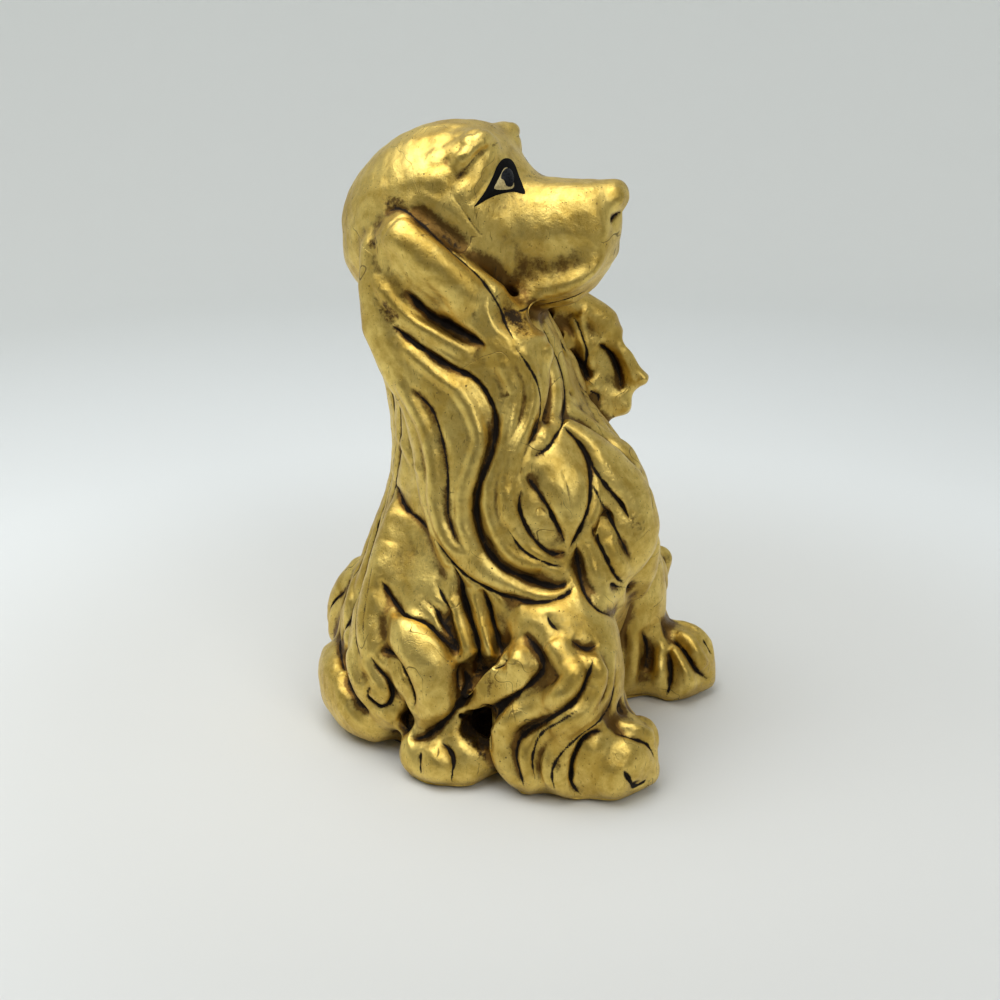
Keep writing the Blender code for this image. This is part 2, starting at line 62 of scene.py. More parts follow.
# The photograph's camera: image side and focal length in pixels, place in metres, turn in degrees
IMAGE_SIDE = 1000
FOCAL_PIXELS = 1400.0
CAMERA_PLACE = (-0.653, -0.1854, 0.370)
CAMERA_TURN = (70.0, 0.0, -72.0)
SENSOR_WIDTH = 36.0

# Cuts of the modelling tool, in millimetres: slit half width and depth, bank half width and depth, darkness
# A slit's darkness is dark wax; the smear tool lays stain on some lines and painted shade on others; the
# grime and shadow tools lay painted shade
TOOLS = {
    "gorge": (1.4, 2.0, 10.0, 4.4, 1.00),
    "slot": (1.7, 2.6, 6.5, 2.2, 1.00),
    "deep": (1.3, 1.7, 9.0, 2.9, 1.00),
    "firm": (1.1, 1.2, 7.5, 2.0, 0.90),
    "fine": (0.9, 0.7, 5.0, 1.0, 0.80),
    "hair": (0.8, 0.3, 2.0, 0.2, 0.50),
    "soft": (0.0, 0.0, 9.0, 1.8, 0.00),
    "crease": (0.0, 0.0, 5.5, 1.0, 0.00),
    "smear_and_shadow": (0.0, 0.0, 5.0, 0.4, 0.95),
    "broad_shadow": (0.0, 0.0, 10.0, 0.6, 0.60),
    "shadow": (0.0, 0.0, 7.0, 1.0, 1.30),
    "bead": (0.0, 0.0, 3.4, -1.3, 0.00),
    "strand": (0.0, 0.0, 4.6, -2.2, 0.00),
    "roll": (0.0, 0.0, 4.2, -1.5, 0.00),
    "rope": (0.0, 0.0, 7.0, -3.6, 0.00),
    "swell": (0.0, 0.0, 10.0, -2.4, 0.00),
    "dish": (0.0, 0.0, 12.0, 2.8, 0.00),
}

# Lines of the near side, as pixels of the photograph
EAR_LINES = {
    "gap_under_roll": ("slot", ((403, 290), (427, 313), (448, 325), (466, 336), (485, 347))),
    "wavy_main": ("deep", (
        (390, 325), (403, 336), (423, 351), (438, 361), (453, 369), (471, 376), (484, 389), (493, 407),
        (495, 430), (491, 455), (480, 484), (476, 510), (482, 539), (500, 565), (526, 579), (555, 585),
        (572, 581))),
    "wavy_rear": ("fine", (
        (410, 388), (422, 399), (432, 411), (439, 430), (444, 452), (447, 474), (447, 510), (451, 528),
        (457, 545))),
    "rear_edge": ("firm", (
        (393, 482), (405, 508), (423, 526), (445, 557), (461, 574), (479, 586), (507, 598), (540, 601),
        (565, 594), (575, 584))),
    "roll_front": ("fine", (
        (384, 214), (395, 208), (407, 211), (426, 226), (441, 240), (455, 253), (470, 266), (482, 279),
        (493, 295), (502, 309), (509, 328), (517, 346))),
    "roll_back": ("crease", ((378, 220), (371, 238), (371, 255), (377, 272), (387, 288))),
    "roll_back_dirt": ("smear_and_shadow", ((372, 236), (371, 250))),
    "second_line": ("crease", ((378, 293), (390, 312), (408, 328), (430, 342), (452, 353), (468, 362))),
    "fall_front": ("fine", ((513, 343), (527, 365), (537, 385), (542, 411), (535, 434), (526, 448))),
    "fall_crest": ("strand", (
        (520, 350), (531, 375), (534, 400), (528, 425), (516, 450), (508, 476), (506, 500), (513, 526))),
    "main_crest": ("strand", (
        (498, 362), (511, 382), (514, 400), (510, 420), (502, 444), (493, 466), (487, 488), (487, 510),
        (495, 536), (511, 557), (540, 571))),
    "front_crest": ("strand", ((546, 345), (554, 372), (556, 400), (551, 424), (541, 440))),
    "rear_crest": ("strand", (
        (404, 345), (432, 370), (455, 388), (472, 412), (480, 440), (472, 468), (464, 495), (464, 525),
        (478, 553))),
    "edge_crest": ("strand", (
        (396, 380), (412, 405), (424, 430), (432, 465), (434, 505), (443, 535), (462, 560))),
    "second_crest": ("strand", ((376, 275), (388, 300), (408, 320), (432, 334), (455, 346), (472, 356))),
    "roll_crest": ("swell", ((392, 225), (412, 243), (434, 264), (455, 287), (474, 310))),
    "neck_strand": ("fine", (
        (540, 322), (550, 340), (560, 363), (566, 389), (564, 414), (555, 437), (540, 454))),
    "strand_foot": ("fine", ((533, 458), (545, 450), (557, 440))),
    "lower_curl": ("fine", ((504, 524), (522, 550), (548, 564), (566, 567))),
    "rear_ridge": ("bead", ((396, 434), (412, 460), (422, 474))),
    "fall_valley": ("crease", ((541, 396), (535, 426), (522, 448), (513, 470), (508, 492))),
    "root_stain": ("smear_and_shadow", ((384, 207), (390, 203), (398, 204), (406, 210))),
    # Darkens the cheek along the front of the ear roll
    "cheek_darkening": ("smear_and_shadow", ((404, 211), (425, 226), (445, 243), (468, 262))),
    # Painted shade under the jaw, between the ear and the neck
    "chin_shadow": ("shadow", ((502, 308), (512, 312), (522, 314), (534, 316))),
    "chin_shadow_low": ("smear_and_shadow", ((512, 320), (524, 324), (533, 331))),
    "chin_broad_shadow": ("broad_shadow", ((505, 318), (525, 322), (545, 322))),
    "roll_stain": ("smear_and_shadow", ((380, 300), (390, 314), (398, 322))),
}
RUFF_LINES = {
    "leaf_rib": ("firm", ((526, 473), (540, 495), (555, 524), (566, 547))),
    "leaf_rear": ("firm", ((522, 488), (521, 512), (536, 540), (555, 554), (568, 553))),
    "leaf_right": ("deep", ((563, 424), (584, 447), (593, 473), (592, 506), (580, 535), (569, 551))),
    "leaf_vein": ("hair", ((561, 467), (568, 489), (571, 508))),
    "breast_edge": ("firm", ((584, 447), (599, 473), (614, 495), (632, 519))),
    "breast_slit": ("deep", ((614, 494), (624, 507), (632, 521))),
    "breast_line": ("fine", ((594, 481), (606, 510), (621, 539), (631, 560))),
    "breast_crest": ("strand", ((568, 407), (589, 423), (613, 441), (630, 455), (641, 468))),
    "bib_left": ("firm", ((577, 543), (579, 565), (585, 588), (597, 606), (614, 616))),
    "bib_middle": ("firm", ((592, 525), (606, 554), (618, 576), (632, 590))),
    "bib_slit": ("firm", ((610, 584), (620, 588), (631, 586))),
    "bib_crest": ("strand", ((586, 545), (592, 566), (602, 590), (616, 604))),
    "bib_crest_inner": ("strand", ((606, 540), (618, 560), (628, 578))),
}
LEFT_EAR_LINES = {
    "upper_slot": ("gorge", ((563, 348), (574, 355), (585, 367), (593, 380))),
    "outer_slot": ("gorge", ((599, 344), (609, 352), (617, 368), (623, 392))),
    "lower_crease": ("crease", ((580, 385), (592, 397), (603, 403))),
    "tip_crease": ("crease", ((618, 345), (630, 362), (640, 380))),
}
LEG_LINES = {
    "shoulder_slash": ("fine", ((546, 614), (551, 624), (560, 632))),
    "bib_crease": ("firm", ((571, 640), (586, 647), (599, 644))),
    "strand_upper": ("deep", (
        (522, 632), (532, 643), (540, 656), (543, 667), (538, 678), (524, 691), (508, 698))),
    # flap_under and pocket_front also paint the pocket under the elbow flap black as painted shadow
    "flap_under": ("slot", ((524, 692), (512, 699), (500, 705), (488, 711), (474, 716), (460, 719))),
    "pocket_front": ("slot", ((514, 700), (504, 706), (497, 714), (492, 726), (491, 738), (493, 750))),
    "flap_left": ("slot", ((466, 668), (470, 680), (466, 694), (459, 706), (452, 716))),
    "flap_top": ("firm", ((474, 674), (484, 670), (495, 667), (505, 662))),
    "strand_valley": ("firm", (
        (594, 656), (589, 675), (578, 699), (551, 718), (530, 730), (519, 742), (516, 755), (520, 770),
        (525, 788))),
    "strand_fine": ("fine", ((580, 706), (560, 720), (545, 730), (536, 742), (532, 760), (536, 780))),
    "strand_front": ("fine", (
        (616, 668), (613, 700), (600, 722), (580, 738), (562, 752), (552, 770), (556, 795))),
    "paw_crease": ("gorge", ((606, 730), (592, 738), (581, 747), (573, 766), (574, 785), (582, 800))),
    "toe_lower": ("slot", ((622, 769), (629, 779), (637, 789), (644, 786), (648, 779))),
    "toe_upper": ("firm", ((613, 733), (631, 737), (647, 742), (654, 750), (657, 760))),
    "toe_cap": ("bead", ((618, 724), (640, 728), (655, 738), (661, 752))),
    "crest_outer": ("rope", (
        (552, 640), (566, 664), (572, 676), (560, 694), (535, 709), (508, 721), (499, 737), (504, 762),
        (516, 788))),
    "crest_middle": ("rope", (
        (602, 662), (598, 686), (583, 710), (556, 726), (536, 741), (527, 760), (532, 782), (538, 796))),
    "crest_front": ("strand", (
        (611, 650), (607, 688), (594, 710), (567, 731), (550, 748), (546, 770), (551, 790))),
    "elbow_shadow": ("shadow", ((460, 725), (472, 728), (483, 731), (486, 741))),
    "foot_shadow": ("smear_and_shadow", ((479, 738), (483, 750), (488, 764))),
    # Painted shade on the hind foot's top beside the pocket
    "foot_rim_shadow": ("smear_and_shadow", ((458, 725), (466, 735), (475, 742), (485, 746))),
    "far_leg_valley": ("firm", ((642, 630), (649, 648), (645, 672))),
    "far_paw_crease": ("deep", ((668, 650), (670, 678), (666, 699))),
    "far_toe": ("deep", ((672, 638), (682, 647), (690, 659), (699, 671), (710, 680))),
    "far_toe_roll": ("strand", ((677, 633), (689, 641), (698, 655), (706, 668))),
    "far_toe_roll_low": ("strand", ((671, 648), (681, 661), (689, 676), (692, 692))),
    "far_toe_notch": ("firm", ((703, 638), (709, 646), (714, 655))),
    "far_crest": ("strand", ((630, 622), (634, 645), (632, 670), (630, 690))),
    "far_crest_front": ("strand", ((656, 625), (661, 650), (658, 690))),
}
HAUNCH_LINES = {
    "belly_one": ("gorge", ((449, 565), (460, 589), (468, 614), (475, 638), (479, 662), (476, 668))),
    "belly_two": ("gorge", ((481, 589), (489, 611), (496, 632), (501, 654), (503, 664))),
    "belly_rear": ("firm", ((424, 598), (440, 615), (452, 636), (462, 652))),
    "thigh_crease": ("deep", (
        (381, 579), (388, 595), (401, 610), (422, 618), (436, 628), (450, 642), (460, 655))),
    "thigh_line": ("fine", ((436, 581), (444, 600), (457, 619))),
    "thigh_front": ("gorge", ((460, 667), (464, 686), (459, 712), (444, 726), (425, 735), (409, 738))),
    "thigh_rear": ("gorge", ((381, 646), (393, 662), (404, 682), (411, 704), (408, 722), (399, 733))),
    "curl": ("deep", (
        (369, 686), (366, 695), (370, 703), (379, 708), (389, 704), (393, 693), (388, 680), (378, 668),
        (371, 655))),
    "curl_core": ("bead", ((374, 690), (376, 698), (383, 698))),
    "curl_rear": ("gorge", ((345, 672), (348, 690), (356, 705), (368, 716))),
    "flank_valley": ("fine", ((367, 556), (361, 590), (357, 614), (356, 640), (362, 660))),
    "flank_rear": ("fine", ((350, 576), (341, 612), (339, 645), (345, 672))),
    "flank_line": ("hair", ((378, 556), (371, 590), (366, 625), (368, 650))),
    "hip_crest": ("swell", (
        (384, 540), (372, 585), (366, 625), (374, 655), (392, 680), (397, 705), (386, 722))),
    "hip_crest_rear": ("strand", ((358, 565), (349, 605), (347, 640), (353, 672), (366, 700))),
    "belly_crest_one": ("strand", ((453, 598), (463, 630), (468, 662))),
    "belly_crest_two": ("strand", ((468, 590), (480, 620), (488, 648), (490, 660))),
    "foot_toe_one": ("firm", ((420, 750), (419, 762), (420, 776))),
    "foot_toe_two": ("deep", ((441, 742), (449, 750), (453, 762), (451, 788))),
}
FACE_LINES = {
    "brow_notch": ("hair", ((489, 148), (494, 144), (500, 143))),
    "cheek_line": ("hair", (
        (453, 188), (455, 197), (462, 208), (470, 220), (478, 231), (484, 235), (492, 233))),
    "mouth_corner": ("hair", ((497, 264), (494, 282), (492, 300), (500, 294), (508, 289), (518, 290))),
    "nose_under": ("firm", ((611, 222), (617, 217), (624, 212))),
    "flew_hollow": ("dish", ((512, 262), (545, 264), (572, 255), (590, 238))),
    "lip_line": ("fine", ((522, 306), (548, 305), (572, 299), (590, 290))),
    "temple_hollow": ("soft", ((408, 208), (428, 218), (448, 232), (466, 250))),
    "lid_ridge": ("roll", ((458, 199), (467, 190), (476, 178), (485, 164), (493, 152), (500, 145))),
    "lid_valley": ("hair", ((447, 189), (457, 179), (468, 166), (478, 154), (487, 145))),
    "brow_ridge": ("roll", ((441, 178), (455, 162), (470, 147), (483, 138), (492, 134))),
}
# Hair lines down the back and breast: tool, degrees from the breast to the dog's right, lower and upper
# end in millimetres
LONG_LINES = (
    ("fine", 131, 75, 190), ("hair", 139, 100, 160), ("firm", 146, 45, 210), ("fine", 154, 90, 165),
    ("fine", 162, 60, 225), ("hair", 171, 110, 200), ("firm", 180, 78, 230), ("fine", 189, 70, 130),
    ("fine", 198, 60, 222), ("hair", 206, 105, 185), ("firm", 214, 48, 212), ("fine", 222, 85, 150),
    ("fine", 229, 72, 188), ("firm", 172, 12, 66), ("firm", 187, 14, 70), ("fine", 180, 10, 50),
    ("hair", 8, 128, 178), ("hair", 0, 118, 168), ("fine", 352, 126, 182), ("hair", 344, 116, 172),
    ("fine", 336, 128, 186))
# Their sway in degrees, and the length of its wave and the step between points in millimetres
LINE_SWAY = 4.0
LINE_WAVE = 95.0
LINE_STEP = 4.0
# The middle between the forelegs, in millimetres beside the dog's middle
LEG_MIDDLE = -5.0
# Pockets that are packed with clay, as pixels: place, radius in millimetres, whether the left side has it too
FILLS = {
    "leaf_pocket": ((538, 512), 15.0, True),
    "breast_pocket": ((606, 540), 14.0, True),
    "ear_pocket": ((580, 362), 12.0, False),
    "ear_pocket_low": ((588, 388), 11.0, False),
    "ear_pocket_end": ((605, 402), 8.0, False),
    "thigh_top": ((410, 596), 22.0, True),
    "belly_pocket": ((477, 638), 15.0, True),
    "belly_pocket_top": ((484, 603), 9.0, True),
}
# Places that are rubbed smooth on both sides, as pixels: place, radius in millimetres, rounds of rubbing
RUBBED = {
    "hip_top": ((394, 522), 20.0, 50),
    "flank": ((402, 566), 24.0, 50),
}
# Locks laid on as ribbons of clay, in millimetres: the member they thicken, thickness, the middle that they
# are mirrored about if the left side has them too, and pixels along them with the distance beside the dog's
# middle and the width
RIBBONS = {
    "flew": ("head_shell", 8.0, 0.0, (
        ((508, 286), -19.0, 3.0), ((535, 291), -21.0, 8.0), ((560, 287), -21.5, 9.0),
        ((582, 276), -20.0, 8.0), ((597, 261), -15.5, 7.0), ((604, 244), -12.0, 3.0))),
    "elbow_flap": ("right_elbow_lock", 5.0, LEG_MIDDLE, (
        ((534, 638), -72.0, 4.0), ((525, 668), -83.0, 19.0), ((498, 684), -84.0, 18.0),
        ((478, 699), -83.0, 10.0), ((456, 713), -81.0, 2.0))),
    "elbow_backing": ("right_elbow_lock", 17.0, LEG_MIDDLE, (
        ((528, 640), -64.0, 5.0), ((516, 662), -69.0, 10.0), ((498, 682), -70.0, 10.0),
        ((480, 694), -70.0, 4.0))),
    "leg_back": ("right_leg_lock_back", 10.0, LEG_MIDDLE, (
        ((540, 690), -80.0, 3.0), ((514, 711), -83.0, 9.0), ((502, 731), -83.0, 11.0),
        ((503, 752), -83.0, 11.0), ((514, 780), -84.0, 4.0))),
    "left_ear_roll": ("left_ear_roll", 13.0, None, (
        ((552, 318), 42.0, 16.0), ((585, 319), 52.0, 18.0), ((612, 329), 58.0, 12.0),
        ((624, 338), 60.0, 3.0))),
    "left_ear_fall": ("left_ear_fall", 13.0, None, (
        ((560, 345), 40.0, 16.0), ((590, 356), 50.0, 22.0), ((622, 370), 58.0, 18.0),
        ((651, 381), 62.0, 3.0))),
    "left_ear_tip": ("left_ear_tip", 13.0, None, (
        ((570, 376), 40.0, 14.0), ((592, 390), 48.0, 20.0), ((612, 402), 54.0, 18.0),
        ((634, 408), 58.0, 5.0))),
}
# Bumps, pits, stains and painted shade, as pixels: place, radius in millimetres, depth in millimetres,
# darkness
# The darkness of the *_shade spots, the chin hollows and the elbow pocket is painted shade
PITS = {
    "brow_knob": ((470, 143), 5.0, -1.6, 0.00),
    "brow_knob_low": ((483, 140), 4.5, -1.5, 0.00),
    "brow_knob_top": ((462, 132), 5.5, -1.0, 0.00),
    "skull_knob": ((452, 150), 6.0, -1.0, 0.00),
    "skull_knob_rear": ((436, 158), 6.0, -0.8, 0.00),
    "skull_knob_top": ((440, 134), 7.0, -0.7, 0.00),
    "temple_knob": ((436, 178), 6.5, -0.9, 0.00),
    "temple_knob_rear": ((418, 172), 7.0, -0.6, 0.00),
    "brow_dent": ((462, 148), 3.5, 0.8, 0.00),
    "brow_dent_low": ((448, 165), 4.0, 0.7, 0.00),
    "skull_dent": ((425, 146), 6.0, 0.5, 0.00),
    "fall_pit": ((507, 394), 2.0, 0.6, 0.85),
    "ear_pit": ((572, 393), 2.4, 1.5, 0.95),
    "leg_dent": ((556, 764), 4.0, 1.6, 0.85),
    # The chin hollows' darkness is painted shade under the jaw
    "chin_hollow": ((518, 311), 14.0, 5.0, 0.50),
    "chin_hollow_front": ((535, 317), 10.0, 3.5, 0.50),
    "muzzle_dent": ((585, 234), 10.0, 1.2, 0.00),
    "roll_dent": ((432, 298), 9.0, 0.8, 0.00),
    "breast_shade": ((637, 524), 6.0, 0.8, 0.60),
    "curl_shade": ((364, 678), 4.5, 0.8, 0.60),
    # The darkness of these elbow and pocket pits paints the pocket between flap, hind foot and leg black as
    # painted shadow
    "elbow_hollow": ((487, 724), 10.0, 5.0, 1.20),
    "elbow_hollow_low": ((484, 741), 6.0, 3.0, 1.20),
    "pocket_top": ((478, 716), 5.5, 3.0, 1.30),
    "pocket_top_front": ((490, 711), 5.0, 3.0, 1.30),
    "pocket_corner": ((501, 706), 3.5, 2.0, 1.30),
    "leg_notch": ((622, 706), 5.0, 3.0, 1.20),
    "elbow_hollow_rear": ((471, 727), 8.0, 3.0, 1.10),
    "toe_notch": ((637, 786), 3.6, 2.6, 1.20),
    "nose_tip": ((618, 196), 5.5, -1.2, 0.00),
    "paw_ball": ((610, 764), 18.0, -2.6, 0.00),
    "hind_foot_ball": ((436, 768), 12.0, -1.6, 0.00),
    "flap_shade": ((490, 684), 8.0, 1.5, 0.60),
    "belly_foot": ((464, 672), 6.0, 2.0, 0.90),
}
# The eye, as pixels: rim of the dark lining, the white and the iris
EYE_RIM = (
    (474, 207), (484, 193), (492, 178), (497, 166), (503, 159), (510, 159), (515, 165), (519, 176),
    (523, 186), (525, 194), (514, 192), (501, 194), (488, 199))
EYE_WHITE = (
    (494, 189), (496, 183), (499, 177), (502, 171), (505, 168), (508, 169), (511, 174), (513, 181),
    (513, 188), (504, 190))
EYE_IRIS = ((500, 179), (501, 173), (505, 169), (509, 170), (512, 175), (513, 182), (511, 187), (505, 186))
# How far the left eye lies from the right one's mirror image, in millimetres
FAR_EYE_SHIFT = (0.0, 4.0, -5.0)

# Working of the clay: members that hang loose, and how many times as far their gaps are closed; the share of
# one round of smoothing; rounds that settle which member owns a point; steps that take the closing back; and
# the bend of a full crease in millimetres, with the share of smoothing that it is spared
LOOSE_MEMBERS = ("left_ear_roll", "left_ear_fall", "left_ear_tip")
LOOSE_CLOSING = 1.5
SMOOTHING = 0.5
OWNER_ROUNDS = 4
CLOSING_STEPS = 4
CREASE_DEPTH = 0.35
CREASE_KEEP = 0.6

# Packing and rubbing: least facing, reaches in radii of the place, share of the depth that is packed
PACK_FACING = 0.1
PACK_DEPTH = 1.2
PACK_RIM = 1.35
PACK_SHARE = 0.9
CALM_REACH = 1.4
CALM_DEPTH = 2.0
CALM_ROUNDS = 16
RUB_REACH = 1.3

# Carving: longest taper in millimetres, and its share of a short line; a slit's narrowest half width in
# millimetres, its mean share of the tool's, how far that wavers and the paces of it in radians a millimetre;
# spread of the wax in half widths; the facing that a cut fades over; a mirrored line's reach in millimetres
TAPER = 14.0
TAPER_SHARE = 0.45
SLIT_LEAST = 0.05
SLIT_MEAN = 0.85
SLIT_WAVER = 0.35
WAVER_PACES = (0.55, 0.21)
INK_SPREAD = 1.4
FACING_LEAST = 0.05
FACING_SPAN = 0.4
MIRROR_REACH = 9.0

# The torso's middle behind the origin, and how far outside a search starts, in metres
TORSO_MIDDLE = 0.045
RAY_START = 0.3

# The sole, in millimetres: stretch that is calmed, and height and depth of its round edge
SOLE_CALM_TOP = 14.0
SOLE_CALM_SPAN = 10.0
SOLE_CALM_ROUNDS = 24
SOLE_ROUND_HEIGHT = 12.0
SOLE_ROUND_INSET = 6.0

# Shading: rounds that a bend is read over, and its depth in millimetres at full strength
HOLLOW_REACH = 14
HOLLOW_DEPTH = 0.8
RECESS_REACH = 90
RECESS_DEPTH = 3.0

# The felt's skin from the middle of its underside round the edge to its top, as shares of the thickness and
# of the way to the rim; and the least radius of its rim in metres
FELT_ROWS = ((0.0, 1e-4), (0.0, 0.5), (0.0, 0.985), (0.25, 1.0), (0.75, 1.0), (1.0, 0.985), (1.0, 0.5))
FELT_LEAST_RADIUS = 0.02

# The stage, in metres
FLOOR_RADII = (0.02, 0.3, 0.7, 1.1)
SWEEP_TURN = 0.45
SWEEP_SIDES = 96
WALL_HEIGHTS = (0.9, 1.5)
CAMERA_SIDE = (-0.93, -0.36, 0.0)
LAMP_AIM = (0.0, 0.02, 0.15)
TOP_LAMP_PLACE = (-0.25, 0.25, 1.15)
TOP_LAMP_SIZE = 1.1
SIDE_LAMP_PLACE = (-0.75, -0.75, 0.85)
SIDE_LAMP_SIZE = 0.5
SKY_COLOUR = (0.97, 0.99, 1.0, 1.0)

SHADES = ("groove", "stain_and_shade", "hollow", "ridge", "recess")
MADE = {}


class GiltSettings(bpy.types.PropertyGroup):
    """Sizes and colours of the gilt skin."""

    skin_step: FloatProperty(name="Skin step", description="Size of the skin's faces", default=1.0 * MM,
                             unit="LENGTH")
    overlap: FloatProperty(name="Overlap", description="How far members press into each other",
                           default=0.45 * MM, unit="LENGTH")
    closing: FloatProperty(name="Closing", description="How far clay is packed into gaps", default=2.0 * MM,
                           unit="LENGTH")
    soften: IntProperty(name="Soften", description="Rounds of smoothing before carving", default=36)
    groove_depth: FloatProperty(name="Groove depth", description="Depth of all carved lines", default=1.0,
                                subtype="FACTOR")
    leaf_light: FloatVectorProperty(name="Light leaf", description="Colour of fresh gold leaf",
                                    subtype="COLOR", default=(0.84, 0.63, 0.18))
    leaf_deep: FloatVectorProperty(name="Deep leaf", description="Colour of rubbed gold leaf",
                                   subtype="COLOR", default=(0.52, 0.345, 0.068))
    # Red clay colour, which also browns the edges of painted shade
    bole_and_shade: FloatVectorProperty(name="Bole", description="Red clay under the leaf", subtype="COLOR",
                              default=(0.11, 0.050, 0.012))
    # Wax colour, which is also the black of painted shadow in the elbow pocket and under the jaw
    patina_and_shadow: FloatVectorProperty(name="Patina", description="Dark wax in the grooves", subtype="COLOR",
                                default=(0.012, 0.008, 0.005))


class EyeSettings(bpy.types.PropertyGroup):
    """Colours of the painted eyes."""

    lining: FloatVectorProperty(name="Lining", description="Dark rim of the eye", subtype="COLOR",
                                default=(0.004, 0.004, 0.004))
    white: FloatVectorProperty(name="White", description="White of the eye", subtype="COLOR",
                               default=(0.62, 0.50, 0.22))
    iris: FloatVectorProperty(name="Iris", description="Iris of the eye", subtype="COLOR",
                              default=(0.012, 0.013, 0.016))
    dome: FloatProperty(name="Dome", description="Rise of the eyeball", default=0.9 * MM, unit="LENGTH")


class StageSettings(bpy.types.PropertyGroup):
    """Floor, backdrop and lamps."""

    # The floor colours paint light that grows away from the figure; the dim colour paints shade on the
    # camera's side
    near_floor: FloatVectorProperty(name="Near floor", description="Floor by the figure", subtype="COLOR",
                                    default=(0.70, 0.71, 0.69))
    far_floor: FloatVectorProperty(name="Far floor", description="Floor behind the figure", subtype="COLOR",
                                   default=(0.83, 0.86, 0.86))
    dim: FloatVectorProperty(name="Dim side", description="Paper on the camera's side", subtype="COLOR",
                             default=(0.22, 0.22, 0.215))
    wall: FloatVectorProperty(name="Wall", description="Backdrop", subtype="COLOR",
                              default=(0.84, 0.86, 0.84))
    sky: FloatProperty(name="Sky", description="Strength of the light all round", default=0.46)
    key: FloatProperty(name="Key lamp", description="Power of the lamp overhead", default=11.5, unit="POWER")
    fill: FloatProperty(name="Fill lamp", description="Power of the lamp at the side", default=3.0,
                        unit="POWER")


class DogSettings(bpy.types.PropertyGroup):
    """All settings of the figure."""

    gilt: PointerProperty(type=GiltSettings)
    eyes: PointerProperty(type=EyeSettings)
    stage: PointerProperty(type=StageSettings)


def soft_curve(rows, count):
    """Rows read evenly along a soft curve through each row."""
    rows = np.asarray(rows, float)
    padded = np.vstack((2 * rows[0] - rows[1], rows, 2 * rows[-1] - rows[-2]))
    places = np.linspace(0.0, len(rows) - 1.0, count)
    first = np.minimum(places.astype(int), len(rows) - 2)
    t = (places - first)[:, None]
    a, b, c, d = (padded[first + k] for k in range(4))
    return 0.5 * (2 * b + (c - a) * t + (2 * a - 5 * b + 4 * c - d) * t**2 + (3 * b - a - 3 * c + d) * t**3)


def closed_curve(rows, count, finer=16):
    """Points evenly round a soft closed curve through each row."""
    rows = list(rows)
    wrapped = soft_curve(rows[-2:] + rows + rows[:2], (len(rows) + 3) * finer + 1)
    ring = wrapped[2 * finer:(2 + len(rows)) * finer]
    picks = np.linspace(0, len(ring), count, endpoint=False).astype(int)
    return ring[picks]


def sight(pixel):
    """The photograph camera's ray through a pixel."""
    turn = Euler([math.radians(angle) for angle in CAMERA_TURN]).to_matrix()
    middle = IMAGE_SIDE / 2
    ahead = turn @ Vector(((pixel[0] - middle) / FOCAL_PIXELS, (middle - pixel[1]) / FOCAL_PIXELS, -1.0))
    return Vector(CAMERA_PLACE), ahead.normalized()


def beside(pixel, distance):
    """The point under a pixel at a distance beside the dog's middle."""
    start, ahead = sight(pixel)
    return start + ahead * ((distance * MM - start.x) / ahead.x)


def ring_quads(rings, count):
    """The faces between rings of points, each ring joined to the next."""
    faces = []
    for start in range(0, (rings - 1) * count, count):
        for k in range(count):
            after = (k + 1) % count
            faces.append((start + k, start + after, start + count + after, start + count + k))
    return faces


def fan(tip, start, count):
    """The faces between one point and the ring whose points start at a number."""
    return [(tip, start + (k + 1) % count, start + k) for k in range(count)]


def ribbon(rows, thickness, swell, rings=20, count=12):
    """A leaf-shaped ribbon of clay that lies across the line of sight, as points and triangles."""
    rows = [(*beside(pixel, distance), width * MM / 2 + swell) for pixel, distance, width in rows]
    rows = soft_curve(rows, rings)
    way = np.gradient(rows[:, :3], axis=0)
    back = np.array(CAMERA_PLACE) - rows[:, :3]
    back /= np.linalg.norm(back, axis=1, keepdims=True)
    side = np.cross(way, back)
    side /= np.linalg.norm(side, axis=1, keepdims=True)
    turns = np.arange(count) * 2 * math.pi / count
    reach = side[:, None] * np.cos(turns)[None, :, None] * rows[:, None, 3:]
    reach = reach + back[:, None] * np.sin(turns)[None, :, None] * (thickness * MM / 2 + swell)
    spots = np.vstack(((rows[:, None, :3] + reach).reshape(-1, 3), rows[:1, :3], rows[-1:, :3]))
    quads = np.array(ring_quads(rings, count))
    near_end = fan(rings * count, 0, count)
    far_end = np.array(fan(rings * count + 1, (rings - 1) * count, count))[:, ::-1]
    return spots, np.vstack((near_end, far_end, quads[:, :3], quads[:, [0, 2, 3]]))


def linked_sum(links, values):
    """Each point's sum over the points it is linked to."""
    a, b = links.T
    return np.bincount(a, values[b], len(values)) + np.bincount(b, values[a], len(values))


def keep_largest(layer, near, values):
    """Raise a layer to new values where these are larger."""
    layer[near] = np.maximum(layer[near], values)


